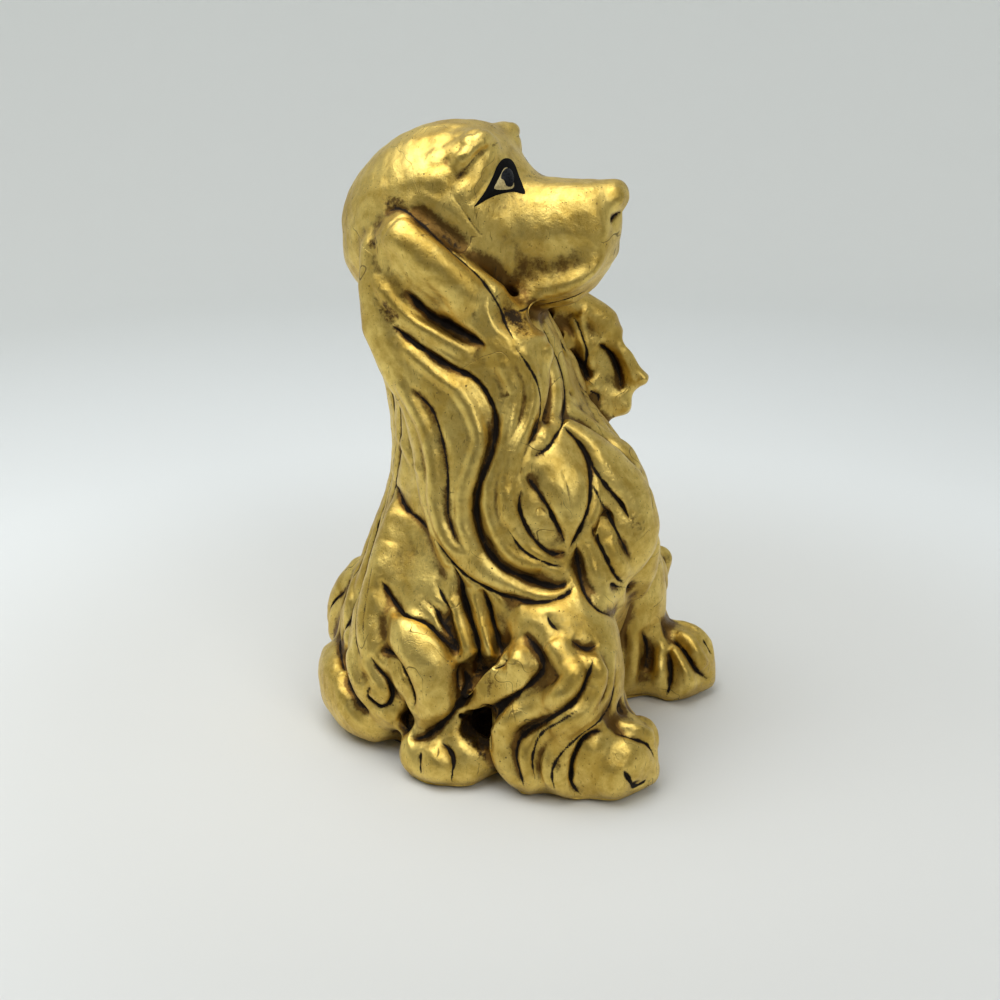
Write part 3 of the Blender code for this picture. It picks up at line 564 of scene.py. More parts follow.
class Skin:
    """The members of the frame pressed into one skin of small square faces."""

    def __init__(self, settings):
        self.settings = settings
        self.names = [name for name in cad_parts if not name.endswith("_eye")]
        points, faces, owners = self.gather()
        self.press(points, faces)
        self.find_links()
        self.find_owners(points, faces, owners)

    def gather(self):
        """Every member's and ribbon's points, with their faces and the faces' owner."""
        lumps = [(name, *self.member(name)) for name in self.names]
        for name, thickness, middle, rows in RIBBONS.values():
            spots, corners = ribbon(rows, thickness, self.settings.overlap + self.settings.closing)
            lumps.append((name, spots, corners))
            if middle is not None:
                other = spots * (-1.0, 1.0, 1.0) + (2 * middle * MM, 0.0, 0.0)
                lumps.append((name.replace("right", "left"), other, corners[:, ::-1]))
        names, points, faces = zip(*lumps)
        starts = np.cumsum([0] + [len(spots) for spots in points])
        owners = [np.full(len(corners), self.names.index(name)) for name, corners in zip(names, faces)]
        faces = [corners + start for corners, start in zip(faces, starts)]
        return np.vstack(points), np.vstack(faces), np.concatenate(owners)

    def member(self, name):
        """A member's points, swollen a little, and its triangles."""
        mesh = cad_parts[name].data
        flat = np.empty(len(mesh.vertices) * 3, np.float32)
        mesh.vertices.foreach_get("co", flat)
        spots, index = np.unique(np.round(flat.reshape(-1, 3), 7), axis=0, return_inverse=True)
        mesh.calc_loop_triangles()
        corners = np.empty(len(mesh.loop_triangles) * 3, np.int32)
        mesh.loop_triangles.foreach_get("vertices", corners)
        corners = index.reshape(-1)[corners].reshape(-1, 3)
        out = np.zeros_like(spots)
        a, b, c = (spots[corners[:, k]] for k in range(3))
        for k in range(3):
            np.add.at(out, corners[:, k], np.cross(b - a, c - a))
        out /= np.maximum(np.linalg.norm(out, axis=1, keepdims=True), TINY)
        closing = self.settings.closing * (LOOSE_CLOSING if name in LOOSE_MEMBERS else 1.0)
        return spots + out * (self.settings.overlap + closing), corners

    def press(self, points, faces):
        """Fuse the members, and keep the outermost skin."""
        mesh = bpy.data.meshes.new("clay")
        mesh.from_pydata(points.tolist(), [], faces.tolist())
        lump = bpy.data.objects.new("clay", mesh)
        bpy.context.scene.collection.objects.link(lump)
        fuse = lump.modifiers.new("fuse", "REMESH")
        fuse.mode = "VOXEL"
        fuse.voxel_size = self.settings.skin_step
        graph = bpy.context.evaluated_depsgraph_get()
        fused = bpy.data.meshes.new_from_object(lump.evaluated_get(graph))
        spots = np.empty(len(fused.vertices) * 3, np.float32)
        fused.vertices.foreach_get("co", spots)
        corners = np.empty(len(fused.loops), np.int32)
        fused.loops.foreach_get("vertex_index", corners)
        self.points = spots.reshape(-1, 3).astype(float)
        self.quads = corners.reshape(-1, 4)
        bpy.data.objects.remove(lump)
        bpy.data.meshes.remove(mesh)
        bpy.data.meshes.remove(fused)
        self.find_links()
        island = self.islands(np.zeros(len(self.points), int))
        keep = island == island[np.argmax(self.points[:, 2])]
        fresh = np.cumsum(keep) - 1
        self.quads = fresh[self.quads[keep[self.quads[:, 0]]]]
        self.points = self.points[keep]

    def find_links(self):
        """The edges of the skin, each once."""
        q = self.quads
        pairs = np.vstack((q[:, [0, 1]], q[:, [1, 2]], q[:, [2, 3]], q[:, [3, 0]]))
        self.links = np.unique(np.sort(pairs, axis=1), axis=0)
        self.count = np.bincount(self.links.reshape(-1), minlength=len(self.points)).astype(float)

    def islands(self, kinds):
        """A number for each joined patch of points of one kind."""
        a, b = self.links[kinds[self.links[:, 0]] == kinds[self.links[:, 1]]].T
        patch = np.arange(len(self.points))
        while True:
            low = np.minimum(patch[a], patch[b])
            after = patch.copy()
            np.minimum.at(after, a, low)
            np.minimum.at(after, b, low)
            np.minimum.at(after, patch[a], low)
            np.minimum.at(after, patch[b], low)
            after = after[after]
            if np.array_equal(after, patch):
                return patch
            patch = after

    def near_mean(self, values):
        """Each point's mean over the points it is linked to."""
        columns = values.reshape(len(values), -1).T
        total = np.column_stack([linked_sum(self.links, column) for column in columns])
        return total / self.count[:, None]

    def relax(self, rounds, share):
        """Smooth the skin, by a share that may differ from point to point."""
        share = np.broadcast_to(share, len(self.points))
        moved = np.flatnonzero(share > 0)
        links = self.links[(share[self.links] > 0).any(axis=1)]
        for _ in range(rounds):
            for axis in range(3):
                values = self.points[:, axis]
                mean = linked_sum(links, values)[moved] / self.count[moved]
                values[moved] += (mean - values[moved]) * share[moved]

    def soften(self, rounds, share):
        """Smooth the skin and keep its bulk."""
        before = self.points.copy()
        self.relax(rounds, share)
        drift = self.points - before
        for _ in range(rounds):
            drift = self.near_mean(drift)
        self.points -= drift

    def outward(self):
        """Each point's outward direction."""
        a, b, c, d = (self.points[self.quads[:, k]] for k in range(4))
        flat = np.cross(c - a, d - b)
        out = np.zeros_like(self.points)
        for k in range(4):
            for axis in range(3):
                out[:, axis] += np.bincount(self.quads[:, k], flat[:, axis], len(out))
        return out / np.maximum(np.linalg.norm(out, axis=1, keepdims=True), TINY)

    def bend(self, reach):
        """How far each point lies below its surroundings, in millimetres."""
        calm = self.points
        for _ in range(reach):
            calm = self.near_mean(calm)
        below = np.einsum("ij,ij->i", calm - self.points, self.outward()) / MM
        for _ in range(2):
            below = self.near_mean(below)[:, 0]
        return below

    def poll(self, owner, sure):
        """How many sure points of each member are linked to each point."""
        votes = np.zeros((len(owner), len(self.names)), np.uint8)
        for here, there in (self.links.T, self.links.T[::-1]):
            counted = sure[there]
            np.add.at(votes, (here[counted], owner[there[counted]]), 1)
        return votes

    def find_owners(self, points, faces, owners):
        """The member that each point of the skin belongs to, without crumbs."""
        tree = BVHTree.FromPolygons(points.tolist(), faces.tolist())
        nearest = np.array([tree.find_nearest(spot)[2] for spot in self.points.tolist()])
        owner = owners[nearest]
        owner[owner == self.names.index("felt_base")] = self.names.index("body_shell")
        everyone = np.arange(len(owner))
        for _ in range(OWNER_ROUNDS):
            votes = self.poll(owner, np.full(len(owner), True))
            votes[everyone, owner] += 1
            owner = votes.argmax(axis=1)
        patch = self.islands(owner)
        size = np.bincount(patch, minlength=len(owner))
        largest = np.zeros(len(self.names), int)
        np.maximum.at(largest, owner, size[patch])
        stray = size[patch] < largest[owner]
        while stray.any():
            votes = self.poll(owner, ~stray)
            found = stray & (votes.max(axis=1) > 0)
            if not found.any():
                break
            owner[found] = votes[found].argmax(axis=1)
            stray &= ~found
        self.owner = owner

    def fill(self, place, back, radius):
        """Pack clay into the pocket at a place, level with its rim as seen from where back points."""
        back = np.array(back)
        side = np.cross(back, (0.0, 0.0, 1.0))
        side /= np.linalg.norm(side)
        apart = self.points - np.array(place)
        across, up, height = apart @ side, apart @ np.cross(side, back), apart @ back
        away = np.hypot(across, up) / radius
        seen = (self.outward() @ back > PACK_FACING) & (np.abs(height) < PACK_DEPTH * radius)
        rim = np.flatnonzero(seen & (away > 1.0) & (away < PACK_RIM))
        level = np.column_stack((across[rim], up[rim], np.ones(len(rim))))
        slope = np.linalg.lstsq(level, height[rim], None)[0]
        low = slope[0] * across + slope[1] * up + slope[2] - height
        inside = seen & (away < 1.0) & (low > 0)
        self.points[inside] += back * (PACK_SHARE * low * (1 - away**4))[inside, None]
        calm = np.clip(CALM_REACH - away, 0.0, 1.0) * (np.abs(height) < CALM_DEPTH * radius)
        self.relax(CALM_ROUNDS, SMOOTHING * calm)

    def rub(self, place, radius, rounds):
        """Rub the skin smooth round a place."""
        away = np.linalg.norm(self.points - np.array(place), axis=1) / radius
        self.relax(rounds, SMOOTHING * np.clip(RUB_REACH - away, 0.0, 1.0))

    def tree(self):
        """A search tree over the skin."""
        return BVHTree.FromPolygons(self.points.tolist(), self.quads.tolist())


class Carving:
    """Lines found on the skin, and the cuts that they make in it."""

    def __init__(self, skin, depth):
        self.skin = skin
        self.depth = depth
        self.tree = skin.tree()
        self.normals = skin.outward()
        for _ in range(3):
            self.normals = skin.near_mean(self.normals)
        self.normals /= np.linalg.norm(self.normals, axis=1, keepdims=True)
        count = len(skin.points)
        self.groove = np.zeros(count)
        self.valley = np.zeros(count)
        self.raised = np.zeros(count)
        self.dark = np.zeros(count)
        self.stain_and_shade = np.zeros(count)

    def seen(self, pixels, step=2.5):
        """Runs of points on the skin under a line of pixels, broken where the line jumps over an edge."""
        length = np.linalg.norm(np.diff(np.asarray(pixels, float), axis=0), axis=1).sum()
        pixels = soft_curve(pixels, max(int(length / step), 4))
        return self.runs([self.tree.ray_cast(*sight(pixel))[:2] for pixel in pixels])

    def round_about(self, rows):
        """Runs of points on the skin along angles and heights about the upright middle of the torso."""
        spots = []
        for angle, height in rows:
            turn = math.radians(angle)
            out = Vector((-math.sin(turn), -math.cos(turn), 0.0))
            middle = Vector((0.0, TORSO_MIDDLE, height * MM))
            spots.append(self.tree.ray_cast(middle + out * RAY_START, -out)[:2])
        return self.runs(spots)

    def runs(self, spots, jump=7.0 * MM):
        """Split a row of surface points where it jumps."""
        found = [[]]
        for spot, out in spots:
            if spot is None:
                found.append([])
                continue
            if found[-1] and (spot - found[-1][-1][0]).length > jump:
                found.append([])
            found[-1].append((spot, out))
        return [run for run in found if len(run) > 2]

    def mirrored(self, run, middle=0.0):
        """The same run on the dog's other side, laid on the skin there."""
        spots = []
        for spot, _ in run:
            other = Vector((2 * middle * MM - spot.x, spot.y, spot.z))
            place, out, _, gap = self.tree.find_nearest(other)
            spots.append((place, out) if gap < MIRROR_REACH * MM else (None, None))
        return self.runs(spots)

    def behind(self, run):
        """The same run on the outer face of what it lies on, on the dog's left."""
        aside = Vector((RAY_START, 0.0, 0.0))
        return self.runs([self.tree.ray_cast(spot + aside, -aside)[:2] for spot, _ in run])

    def reach(self, run, width):
        """The points near a run, how far off and how far along each is, and how surely it faces alike."""
        line = np.array([spot for spot, _ in run])
        facing = np.array([out for _, out in run])
        low = line.min(axis=0) - width
        high = line.max(axis=0) + width
        points = self.skin.points
        near = np.flatnonzero(np.all((points > low) & (points < high), axis=1))
        best = np.full(len(near), np.inf)
        along = np.zeros(len(near))
        faces_it = np.zeros(len(near))
        spots = points[near]
        for k in range(len(line) - 1):
            way = line[k + 1] - line[k]
            t = np.clip(((spots - line[k]) @ way) / max(way @ way, TINY), 0.0, 1.0)
            gap = np.linalg.norm(spots - line[k] - t[:, None] * way, axis=1)
            closer = gap < best
            best[closer] = gap[closer]
            along[closer] = (k + t[closer]) / (len(line) - 1)
            faces_it[closer] = (self.normals[near] @ facing[k])[closer]
        sure = np.clip((faces_it - FACING_LEAST) / FACING_SPAN, 0.0, 1.0)
        inside = (best < width) & (sure > 0)
        return near[inside], best[inside], along[inside], sure[inside]

    def cut(self, run, tool):
        """Carve one run with a tool, tapered to a point at both ends."""
        slit, slit_depth, bank, bank_depth, darkness = TOOLS[tool]
        near, gap, along, sure = self.reach(run, max(slit, bank) * MM)
        gap = gap / MM
        length = sum((run[k + 1][0] - run[k][0]).length for k in range(len(run) - 1)) / MM
        taper = min(TAPER, TAPER_SHARE * length)
        ends = np.clip(np.minimum(along, 1 - along) * length / taper, 0.0, 1.0)
        ease = np.sqrt(ends * (2 - ends)) * sure
        across = np.clip(gap / bank, 0.0, 1.0)
        if slit > 0:
            place = along * length
            quick, slow = WAVER_PACES
            waver = SLIT_MEAN + SLIT_WAVER * np.sin(place * quick + length) * np.sin(place * slow)
            half = np.maximum(slit * waver * ease, SLIT_LEAST)
            keep_largest(self.groove, near, np.clip(1 - gap / half, 0.0, 1.0) * slit_depth * ease)
            keep_largest(self.dark, near, np.clip(INK_SPREAD - gap / half, 0.0, 1.0) * darkness * ease)
            profile = (1 - across) ** 2
        else:
            # Lines without a slit lay stain on some lines and painted shade on others
            keep_largest(self.stain_and_shade, near, (1 - across**2) * darkness * ease)
            profile = (1 - across**2) ** 2
        if bank_depth < 0:
            keep_largest(self.raised, near, (across**2 - 1) * bank_depth * ease)
        else:
            keep_largest(self.valley, near, profile * bank_depth * ease)

    def pit(self, spot, out, radius, depth, darkness):
        """Press one pit, stain or spot of painted shade, or raise one bump."""
        near, gap, _, sure = self.reach([(spot, out), (spot + out * 0.1 * MM, out)], radius * MM)
        share = (1 - (gap / (radius * MM)) ** 2) * sure
        keep_largest(self.raised if depth < 0 else self.valley, near, share * abs(depth))
        keep_largest(self.stain_and_shade, near, share * darkness)

    def apply(self):
        """Move the skin by all cuts at once."""
        move = (self.raised - self.valley - self.groove) * self.depth * MM
        self.skin.points += self.normals * move[:, None]


def flipped(vector):
    """The same vector on the dog's other side."""
    return Vector((-vector.x, vector.y, vector.z))


def hand_wobble(points):
    """Small rises and dips of a surface worked by hand, in metres."""
    x, y, z = (points / MM).T
    broad = np.sin(x * 0.16 + 1.3 * np.sin(z * 0.07)) * np.sin(y * 0.13 + z * 0.11)
    middling = np.sin(z * 0.29 + 1.7 * np.sin(y * 0.12)) * np.sin(x * 0.23 - y * 0.19)
    small = np.sin(x * 0.41 + y * 0.37 + 1.1 * np.sin(z * 0.2))
    small = small * np.sin(z * 0.47 - y * 0.33 + 0.9 * np.sin(x * 0.17))
    return (0.30 * broad + 0.20 * middling + 0.14 * small) * MM


def pack_and_rub(skin):
    """Pack the pockets with clay, and rub the hips smooth."""
    tree = skin.tree()
    for pixel, radius, both_sides in FILLS.values():
        start, ahead = sight(pixel)
        spot = tree.ray_cast(start, ahead)[0]
        skin.fill(spot, -ahead, radius * MM)
        if both_sides:
            skin.fill(tree.find_nearest(flipped(spot))[0], -flipped(ahead), radius * MM)
    for pixel, radius, rounds in RUBBED.values():
        spot = tree.ray_cast(*sight(pixel))[0]
        skin.rub(spot, radius * MM, rounds)
        skin.rub(flipped(spot), radius * MM, rounds)


def carve_lines(work):
    """Cut every line, and press every pit."""
    two_sided = ((EAR_LINES, 0.0), (RUFF_LINES, 0.0), (LEG_LINES, LEG_MIDDLE), (HAUNCH_LINES, 0.0),
                 (FACE_LINES, 0.0))
    for lines, middle in two_sided:
        for tool, pixels in lines.values():
            for run in work.seen(pixels):
                work.cut(run, tool)
                for other in work.mirrored(run, middle):
                    work.cut(other, tool)
    for tool, pixels in LEFT_EAR_LINES.values():
        for run in work.seen(pixels):
            work.cut(run, tool)
            for other in work.behind(run):
                work.cut(other, tool)
    for tool, angle, low, high in LONG_LINES:
        heights = np.linspace(low, high, max(int((high - low) / LINE_STEP), 5))
        angles = angle + LINE_SWAY * np.sin(heights * 2 * math.pi / LINE_WAVE)
        for run in work.round_about(np.column_stack((angles, heights))):
            work.cut(run, tool)
    for pixel, radius, depth, darkness in PITS.values():
        spot, out = work.tree.ray_cast(*sight(pixel))[:2]
        if spot is not None:
            work.pit(spot, out, radius, depth, darkness)


def round_sole(skin):
    """Calm the lowest stretch, cut it level with the felt's top, and round it under."""
    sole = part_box("felt_base")[1].z
    calm = np.clip((SOLE_CALM_TOP * MM - skin.points[:, 2]) / (SOLE_CALM_SPAN * MM), 0.0, 1.0)
    skin.relax(SOLE_CALM_ROUNDS, SMOOTHING * calm)
    skin.points[:, 2] = np.maximum(skin.points[:, 2], sole)
    low = np.clip(1 - (skin.points[:, 2] - sole) / (SOLE_ROUND_HEIGHT * MM), 0.0, 1.0)
    inset = SOLE_ROUND_INSET * MM * (1 - np.sqrt(1 - low**2))
    skin.points -= skin.outward() * (1.0, 1.0, 0.0) * inset[:, None]


def note_shades(skin, work):
    """Note on the skin where the finish is dark, stained or painted with shade, hollow, rubbed or set back.
    """
    skin.normals = skin.outward()
    skin.groove = work.dark
    skin.stain_and_shade = work.stain_and_shade
    bend = skin.bend(HOLLOW_REACH) / HOLLOW_DEPTH
    skin.hollow = np.clip(bend, 0.0, 1.0)
    skin.ridge = np.clip(-bend, 0.0, 1.0)
    skin.recess = np.clip(skin.bend(RECESS_REACH) / RECESS_DEPTH, 0.0, 1.0)


def carve_skin(settings):
    """The whole gilt skin, carved, with its shading values; made once."""
    if "skin" in MADE:
        return MADE["skin"]
    skin = Skin(settings)
    skin.relax(6, SMOOTHING)
    for _ in range(CLOSING_STEPS):
        skin.points -= skin.outward() * (settings.closing / CLOSING_STEPS)
        skin.relax(2, 0.4)
    crease = np.clip(skin.bend(6) / CREASE_DEPTH, 0.0, 1.0)
    skin.soften(settings.soften, SMOOTHING * (1 - CREASE_KEEP * crease))
    pack_and_rub(skin)
    skin.relax(6, SMOOTHING)
    skin.points += skin.outward() * hand_wobble(skin.points)[:, None]
    work = Carving(skin, settings.groove_depth)
    carve_lines(work)
    work.apply()
    skin.relax(2, 0.3)
    round_sole(skin)
    note_shades(skin, work)
    MADE["bare"] = work.tree
    MADE["skin"] = skin
    return skin


class Web:
    """A material's nodes, as they are joined up."""

    def __init__(self, name):
        self.material = bpy.data.materials.new(name)
        self.material.use_nodes = True
        self.tree = self.material.node_tree
        self.tree.nodes.clear()

    def add(self, kind, inputs=None, **settings):
        """Add a node, set it, and link or fill its inputs."""
        node = self.tree.nodes.new("ShaderNode" + kind)
        for key, value in settings.items():
            setattr(node, key, value)
        for key, value in (inputs or {}).items():
            self.fill(node.inputs[key], value)
        return node

    def fill(self, socket, value):
        """Link a socket to an output, or set its value."""
        if isinstance(value, bpy.types.NodeSocket):
            self.tree.links.new(value, socket)
        else:
            socket.default_value = value

    def sum(self, operation, first, second=0.0):
        """One arithmetic step."""
        return self.add("Math", {0: first, 1: second}, operation=operation).outputs[0]

    def weigh(self, *terms):
        """The sum of values, each times its weight."""
        total = None
        for value, weight in terms:
            part = value if weight == 1.0 else self.sum("MULTIPLY", value, weight)
            total = part if total is None else self.sum("ADD", total, part)
        return total

    def largest(self, first, *others):
        """The largest of some values."""
        for value in others:
            first = self.sum("MAXIMUM", first, value)
        return first

    def blend(self, share, first, second):
        """Mix two colours."""
        node = self.add("Mix", data_type="RGBA")
        self.fill(node.inputs["Factor"], share)
        self.fill(node.inputs[6], first)
        self.fill(node.inputs[7], second)
        return node.outputs[2]

    def noise(self, place, scale, detail=4.0, roughness=0.55, distortion=0.0):
        """Fractal noise."""
        inputs = {"Vector": place, "Scale": scale, "Detail": detail, "Roughness": roughness,
                  "Distortion": distortion}
        return self.add("TexNoise", inputs).outputs["Fac"]

    def span(self, value, low, high, to_low=0.0, to_high=1.0):
        """Spread part of a range over another, with soft ends."""
        inputs = {"Value": value, "From Min": low, "From Max": high, "To Min": to_low, "To Max": to_high}
        return self.add("MapRange", inputs, interpolation_type="SMOOTHSTEP").outputs[0]

    def attribute(self, name):
        """A value that the mesh carries."""
        return self.add("Attribute", attribute_name=name).outputs["Fac"]

    def finish(self, inputs):
        """Close the material with a surface shader."""
        shader = self.add("BsdfPrincipled", inputs)
        out = self.add("OutputMaterial")
        self.tree.links.new(shader.outputs[0], out.inputs["Surface"])
        return self.material


def opaque(colour):
    """A colour with full cover."""
    return (*colour, 1.0)


def gilt_leaf(settings):
    """Rubbed gold leaf over red clay, with dark wax in the grooves and painted shade in the elbow pocket and
    under the jaw; made once.
    """
    if "gilt" in MADE:
        return MADE["gilt"]
    web = Web("gilt_leaf")
    place = web.add("TexCoord").outputs["Object"]
    groove, stain_and_shade, hollow, ridge, recess = (web.attribute(word) for word in SHADES)
    sheets = web.noise(place, 38.0, 5.0, 0.6, 0.8)
    grain = web.noise(place, 260.0, 6.0, 0.7)
    pepper = web.noise(place, 520.0, 3.0, 0.65)
    dust = web.noise(place, 1500.0, 3.0, 0.6)
    patches = web.span(web.noise(place, 30.0, 4.0, 0.65, 0.6), 0.48, 0.72, 0.0, 0.3)
    broken = web.weigh((web.sum("SUBTRACT", grain, 0.5), 1.4), (web.sum("SUBTRACT", pepper, 0.5), 0.9))

    tone = web.weigh((sheets, 0.7), (grain, 0.4))
    leaf = web.blend(web.span(tone, 0.40, 0.72), opaque(settings.leaf_deep), opaque(settings.leaf_light))
    worn = web.weigh((hollow, 1.0), (recess, 0.8), (patches, 1.0), (broken, 0.65))
    worn = web.span(worn, 0.10, 0.90, 0.0, 0.92)
    # Stains and painted shade turn the leaf brown
    smudge_and_shade = web.span(web.weigh((stain_and_shade, 1.0), (broken, 1.2)), 0.30, 0.95, 0.0, 0.85)
    stretch = {"Vector": place, "Rotation": (0.7, 0.5, 0.3), "Scale": (1.0, 1.0, 0.2)}
    stretched = web.add("Mapping", stretch).outputs[0]
    scratch = web.span(web.noise(stretched, 900.0, 2.0, 0.5, 1.2), 0.64, 0.74, 0.0, 0.6)
    leaf = web.blend(web.largest(worn, smudge_and_shade, scratch), leaf, opaque(settings.bole_and_shade))

    specks = 0.0
    for scale, size, low in ((260.0, 0.17, 0.53), (470.0, 0.16, 0.44)):
        cells = web.add("TexVoronoi", {"Vector": place, "Scale": scale}).outputs["Distance"]
        patch = web.span(web.noise(place, scale * 0.23), low, low + 0.12)
        specks = web.largest(web.sum("MULTIPLY", web.span(cells, size, size * 0.4), patch), specks)
    curly = web.sum("ABSOLUTE", web.sum("SUBTRACT", web.noise(place, 34.0, 2.0, 0.5, 0.5), 0.5))
    cracked = web.span(web.noise(place, 40.0, 1.0), 0.55, 0.62)
    crack = web.sum("MULTIPLY", web.span(curly, 0.0045, 0.001), cracked)
    rim = web.span(web.weigh((groove, 1.0), (broken, 0.3)), 0.22, 0.62)
    # The strongest stains and painted shade go near black
    blot_and_shadow = web.span(web.weigh((stain_and_shade, 1.0), (broken, 1.0)), 0.80, 1.20, 0.0, 0.9)
    deep = web.span(web.weigh((hollow, 1.0), (broken, 0.5)), 0.75, 1.1, 0.0, 0.9)
    dark = web.largest(rim, blot_and_shadow, deep, web.sum("MULTIPLY", specks, 0.85), web.sum("MULTIPLY", crack, 0.7))

    colour = web.blend(dark, leaf, opaque(settings.patina_and_shadow))
    metal = web.span(dark, 0.1, 0.9, 1.0, 0.15)
    rough = web.weigh((web.span(tone, 0.35, 0.75, 0.47, 0.36), 1.0), (dark, 0.25), (ridge, -0.08))
    beaten = web.noise(place, 95.0, 3.0, 0.55, 0.4)
    pitted = web.sum("ADD", crack, specks)
    height = web.weigh((grain, 0.7), (dust, 0.25), (beaten, 1.5), (pitted, -0.5))
    bump = web.add("Bump", {"Strength": 0.45, "Distance": 0.0009, "Height": height}).outputs[0]
    MADE["gilt"] = web.finish({"Base Color": colour, "Metallic": metal, "Roughness": rough, "Normal": bump,
                               "Specular IOR Level": 0.12})
    return MADE["gilt"]


def new_shape(name, points, faces, materials):
    """A smooth mesh in the scene."""
    mesh = bpy.data.meshes.new(name)
    mesh.from_pydata(np.asarray(points).tolist(), [], [list(face) for face in faces])
    mesh.shade_smooth()
    for material in materials:
        mesh.materials.append(material)
    shape = bpy.data.objects.new(name, mesh)
    bpy.context.scene.collection.objects.link(shape)
    return shape


def new_piece(name, points, faces, materials, node):
    """A piece that stands for a node of the frame and rides with it."""
    piece = new_shape(name, points, faces, materials)
    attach(piece, "root")
    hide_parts(node)
    return piece


def gild(names):
    """Cut the named members' shares out of the carved skin and gild them."""
    settings = bpy.context.scene.gilt_dog.gilt
    skin = carve_skin(settings)
    face_owner = skin.owner[skin.quads[:, 0]]
    for name in names:
        quads = skin.quads[face_owner == skin.names.index(name)]
        if not len(quads):
            raise RuntimeError(f"the skin has no share for {name}")
        used, corners = np.unique(quads, return_inverse=True)
        faces = corners.reshape(-1, 4).tolist()
        leaf = gilt_leaf(settings)
        piece = new_piece("gilt_" + name, skin.points[used], faces, [leaf], name)
        for word in SHADES:
            layer = piece.data.attributes.new(word, "FLOAT", "POINT")
            layer.data.foreach_set("value", getattr(skin, word)[used].astype(np.float32))
        piece.data.normals_split_custom_set_from_vertices(skin.normals[used].tolist())


def both(*names):
    """Each name for the right side and the left."""
    return [side + "_" + name for name in names for side in ("right", "left")]


class SPANIEL_OT_body(bpy.types.Operator):
    """Carve and gild the body"""

    bl_idname = "spaniel.body"
    bl_label = "Body"

    def execute(self, context):
        """Make the body."""
        gild(["body_shell", "tail"])
        return {"FINISHED"}


class SPANIEL_OT_head(bpy.types.Operator):
    """Carve and gild the head, the brows and the nose"""

    bl_idname = "spaniel.head"
    bl_label = "Head"

    def execute(self, context):
        """Make the head."""
        gild(["head_shell", "nose"] + both("brow"))
        return {"FINISHED"}


class SPANIEL_OT_ears(bpy.types.Operator):
    """Carve and gild the ears"""

    bl_idname = "spaniel.ears"
    bl_label = "Ears"

    def execute(self, context):
        """Make the ears."""
        gild(both("ear_roll", "ear_fall", "ear_back") + ["left_ear_tip"])
        return {"FINISHED"}


class SPANIEL_OT_ruff(bpy.types.Operator):
    """Carve and gild the locks of the breast"""

    bl_idname = "spaniel.ruff"
    bl_label = "Ruff"

    def execute(self, context):
        """Make the ruff."""
        gild(both("ruff_leaf", "ruff_front", "bib_lock") + ["chest_lock", "bib_lock_centre"])
        return {"FINISHED"}


class SPANIEL_OT_forelegs(bpy.types.Operator):
    """Carve and gild the forelegs and paws"""

    bl_idname = "spaniel.forelegs"
    bl_label = "Forelegs"

    def execute(self, context):
        """Make the forelegs."""
        gild(both("foreleg", "leg_lock_back", "leg_lock_front", "forepaw", "elbow_lock"))
        return {"FINISHED"}


class SPANIEL_OT_haunches(bpy.types.Operator):
    """Carve and gild the thighs, hips, rump and hind feet"""

    bl_idname = "spaniel.haunches"
    bl_label = "Haunches"

    def execute(self, context):
        """Make the haunches."""
        gild(both("thigh", "hip_lock", "rump_lock", "hind_foot", "belly_lock_front", "belly_lock_back"))
        return {"FINISHED"}


def glaze(name, colour, roughness, gloss):
    """Brushed paint under a clear glaze."""
    web = Web(name)
    place = web.add("TexCoord").outputs["Object"]
    strokes = web.noise(place, 900.0, 4.0, 0.6)
    shade = [part * 0.6 for part in colour]
    paint = web.blend(web.span(strokes, 0.35, 0.7), opaque(shade), opaque(colour))
    bump = web.add("Bump", {"Strength": 0.15, "Distance": 0.0003, "Height": strokes}).outputs[0]
    rough = web.span(strokes, 0.3, 0.7, roughness, roughness + 0.1)
    return web.finish({"Base Color": paint, "Roughness": rough, "Normal": bump, "Specular IOR Level": gloss})


def eye_plate(outline, lift, rise, rings=7, count=48):
    """A thin domed plate on the head's skin inside an outline of pixels."""
    tree = MADE["bare"]
    ring = closed_curve(outline, count)
    middle = ring.mean(axis=0)
    points = []
    for share in np.linspace(0.0, 1.0, rings + 1)[1:]:
        for pixel in middle + (ring - middle) * share:
            spot, out = tree.ray_cast(*sight(pixel))[:2]
            points.append(spot + out * (lift + rise * (1 - share**2)))
    spot, out = tree.ray_cast(*sight(middle))[:2]
    points.append(spot + out * (lift + rise))
    return np.array(points), fan(rings * count, 0, count) + ring_quads(rings, count)


def far_side(spots, lift):
    """The same plate on the dog's left, shifted a little and laid on the skin there."""
    laid = []
    for spot in spots * (-1.0, 1.0, 1.0) + np.array(FAR_EYE_SHIFT) * MM:
        place, out = MADE["bare"].find_nearest(spot)[:2]
        laid.append(place + out * max((Vector(spot) - place).dot(out), lift))
    return np.array(laid)


class SPANIEL_OT_eyes(bpy.types.Operator):
    """Paint the eyes"""

    bl_idname = "spaniel.eyes"
    bl_label = "Eyes"

    def execute(self, context):
        """Make both eyes."""
        settings = context.scene.gilt_dog.eyes
        carve_skin(context.scene.gilt_dog.gilt)
        # Outline, lift above the skin, rise of the dome and paint of each layer
        layers = (
            (EYE_RIM, 0.15 * MM, settings.dome * 0.4, glaze("eye_lining", settings.lining, 0.6, 0.08)),
            (EYE_WHITE, 0.45 * MM, settings.dome, glaze("eye_white", settings.white, 0.4, 0.3)),
            (EYE_IRIS, 1.0 * MM, settings.dome, glaze("eye_iris", settings.iris, 0.25, 0.12)),
        )
        materials = [paint for *_, paint in layers]
        for name in both("eye"):
            points = []
            faces = []
            paints = []
            for layer, (outline, lift, rise, _) in enumerate(layers):
                spots, corners = eye_plate(outline, lift, rise)
                if name.startswith("left"):
                    spots = far_side(spots, lift)
                else:
                    corners = [face[::-1] for face in corners]
                faces += [tuple(corner + len(points) for corner in face) for face in corners]
                points += spots.tolist()
                paints += [layer] * len(corners)
            piece = new_piece("painted_" + name, points, faces, materials, name)
            piece.data.polygons.foreach_set("material_index", paints)
        return {"FINISHED"}


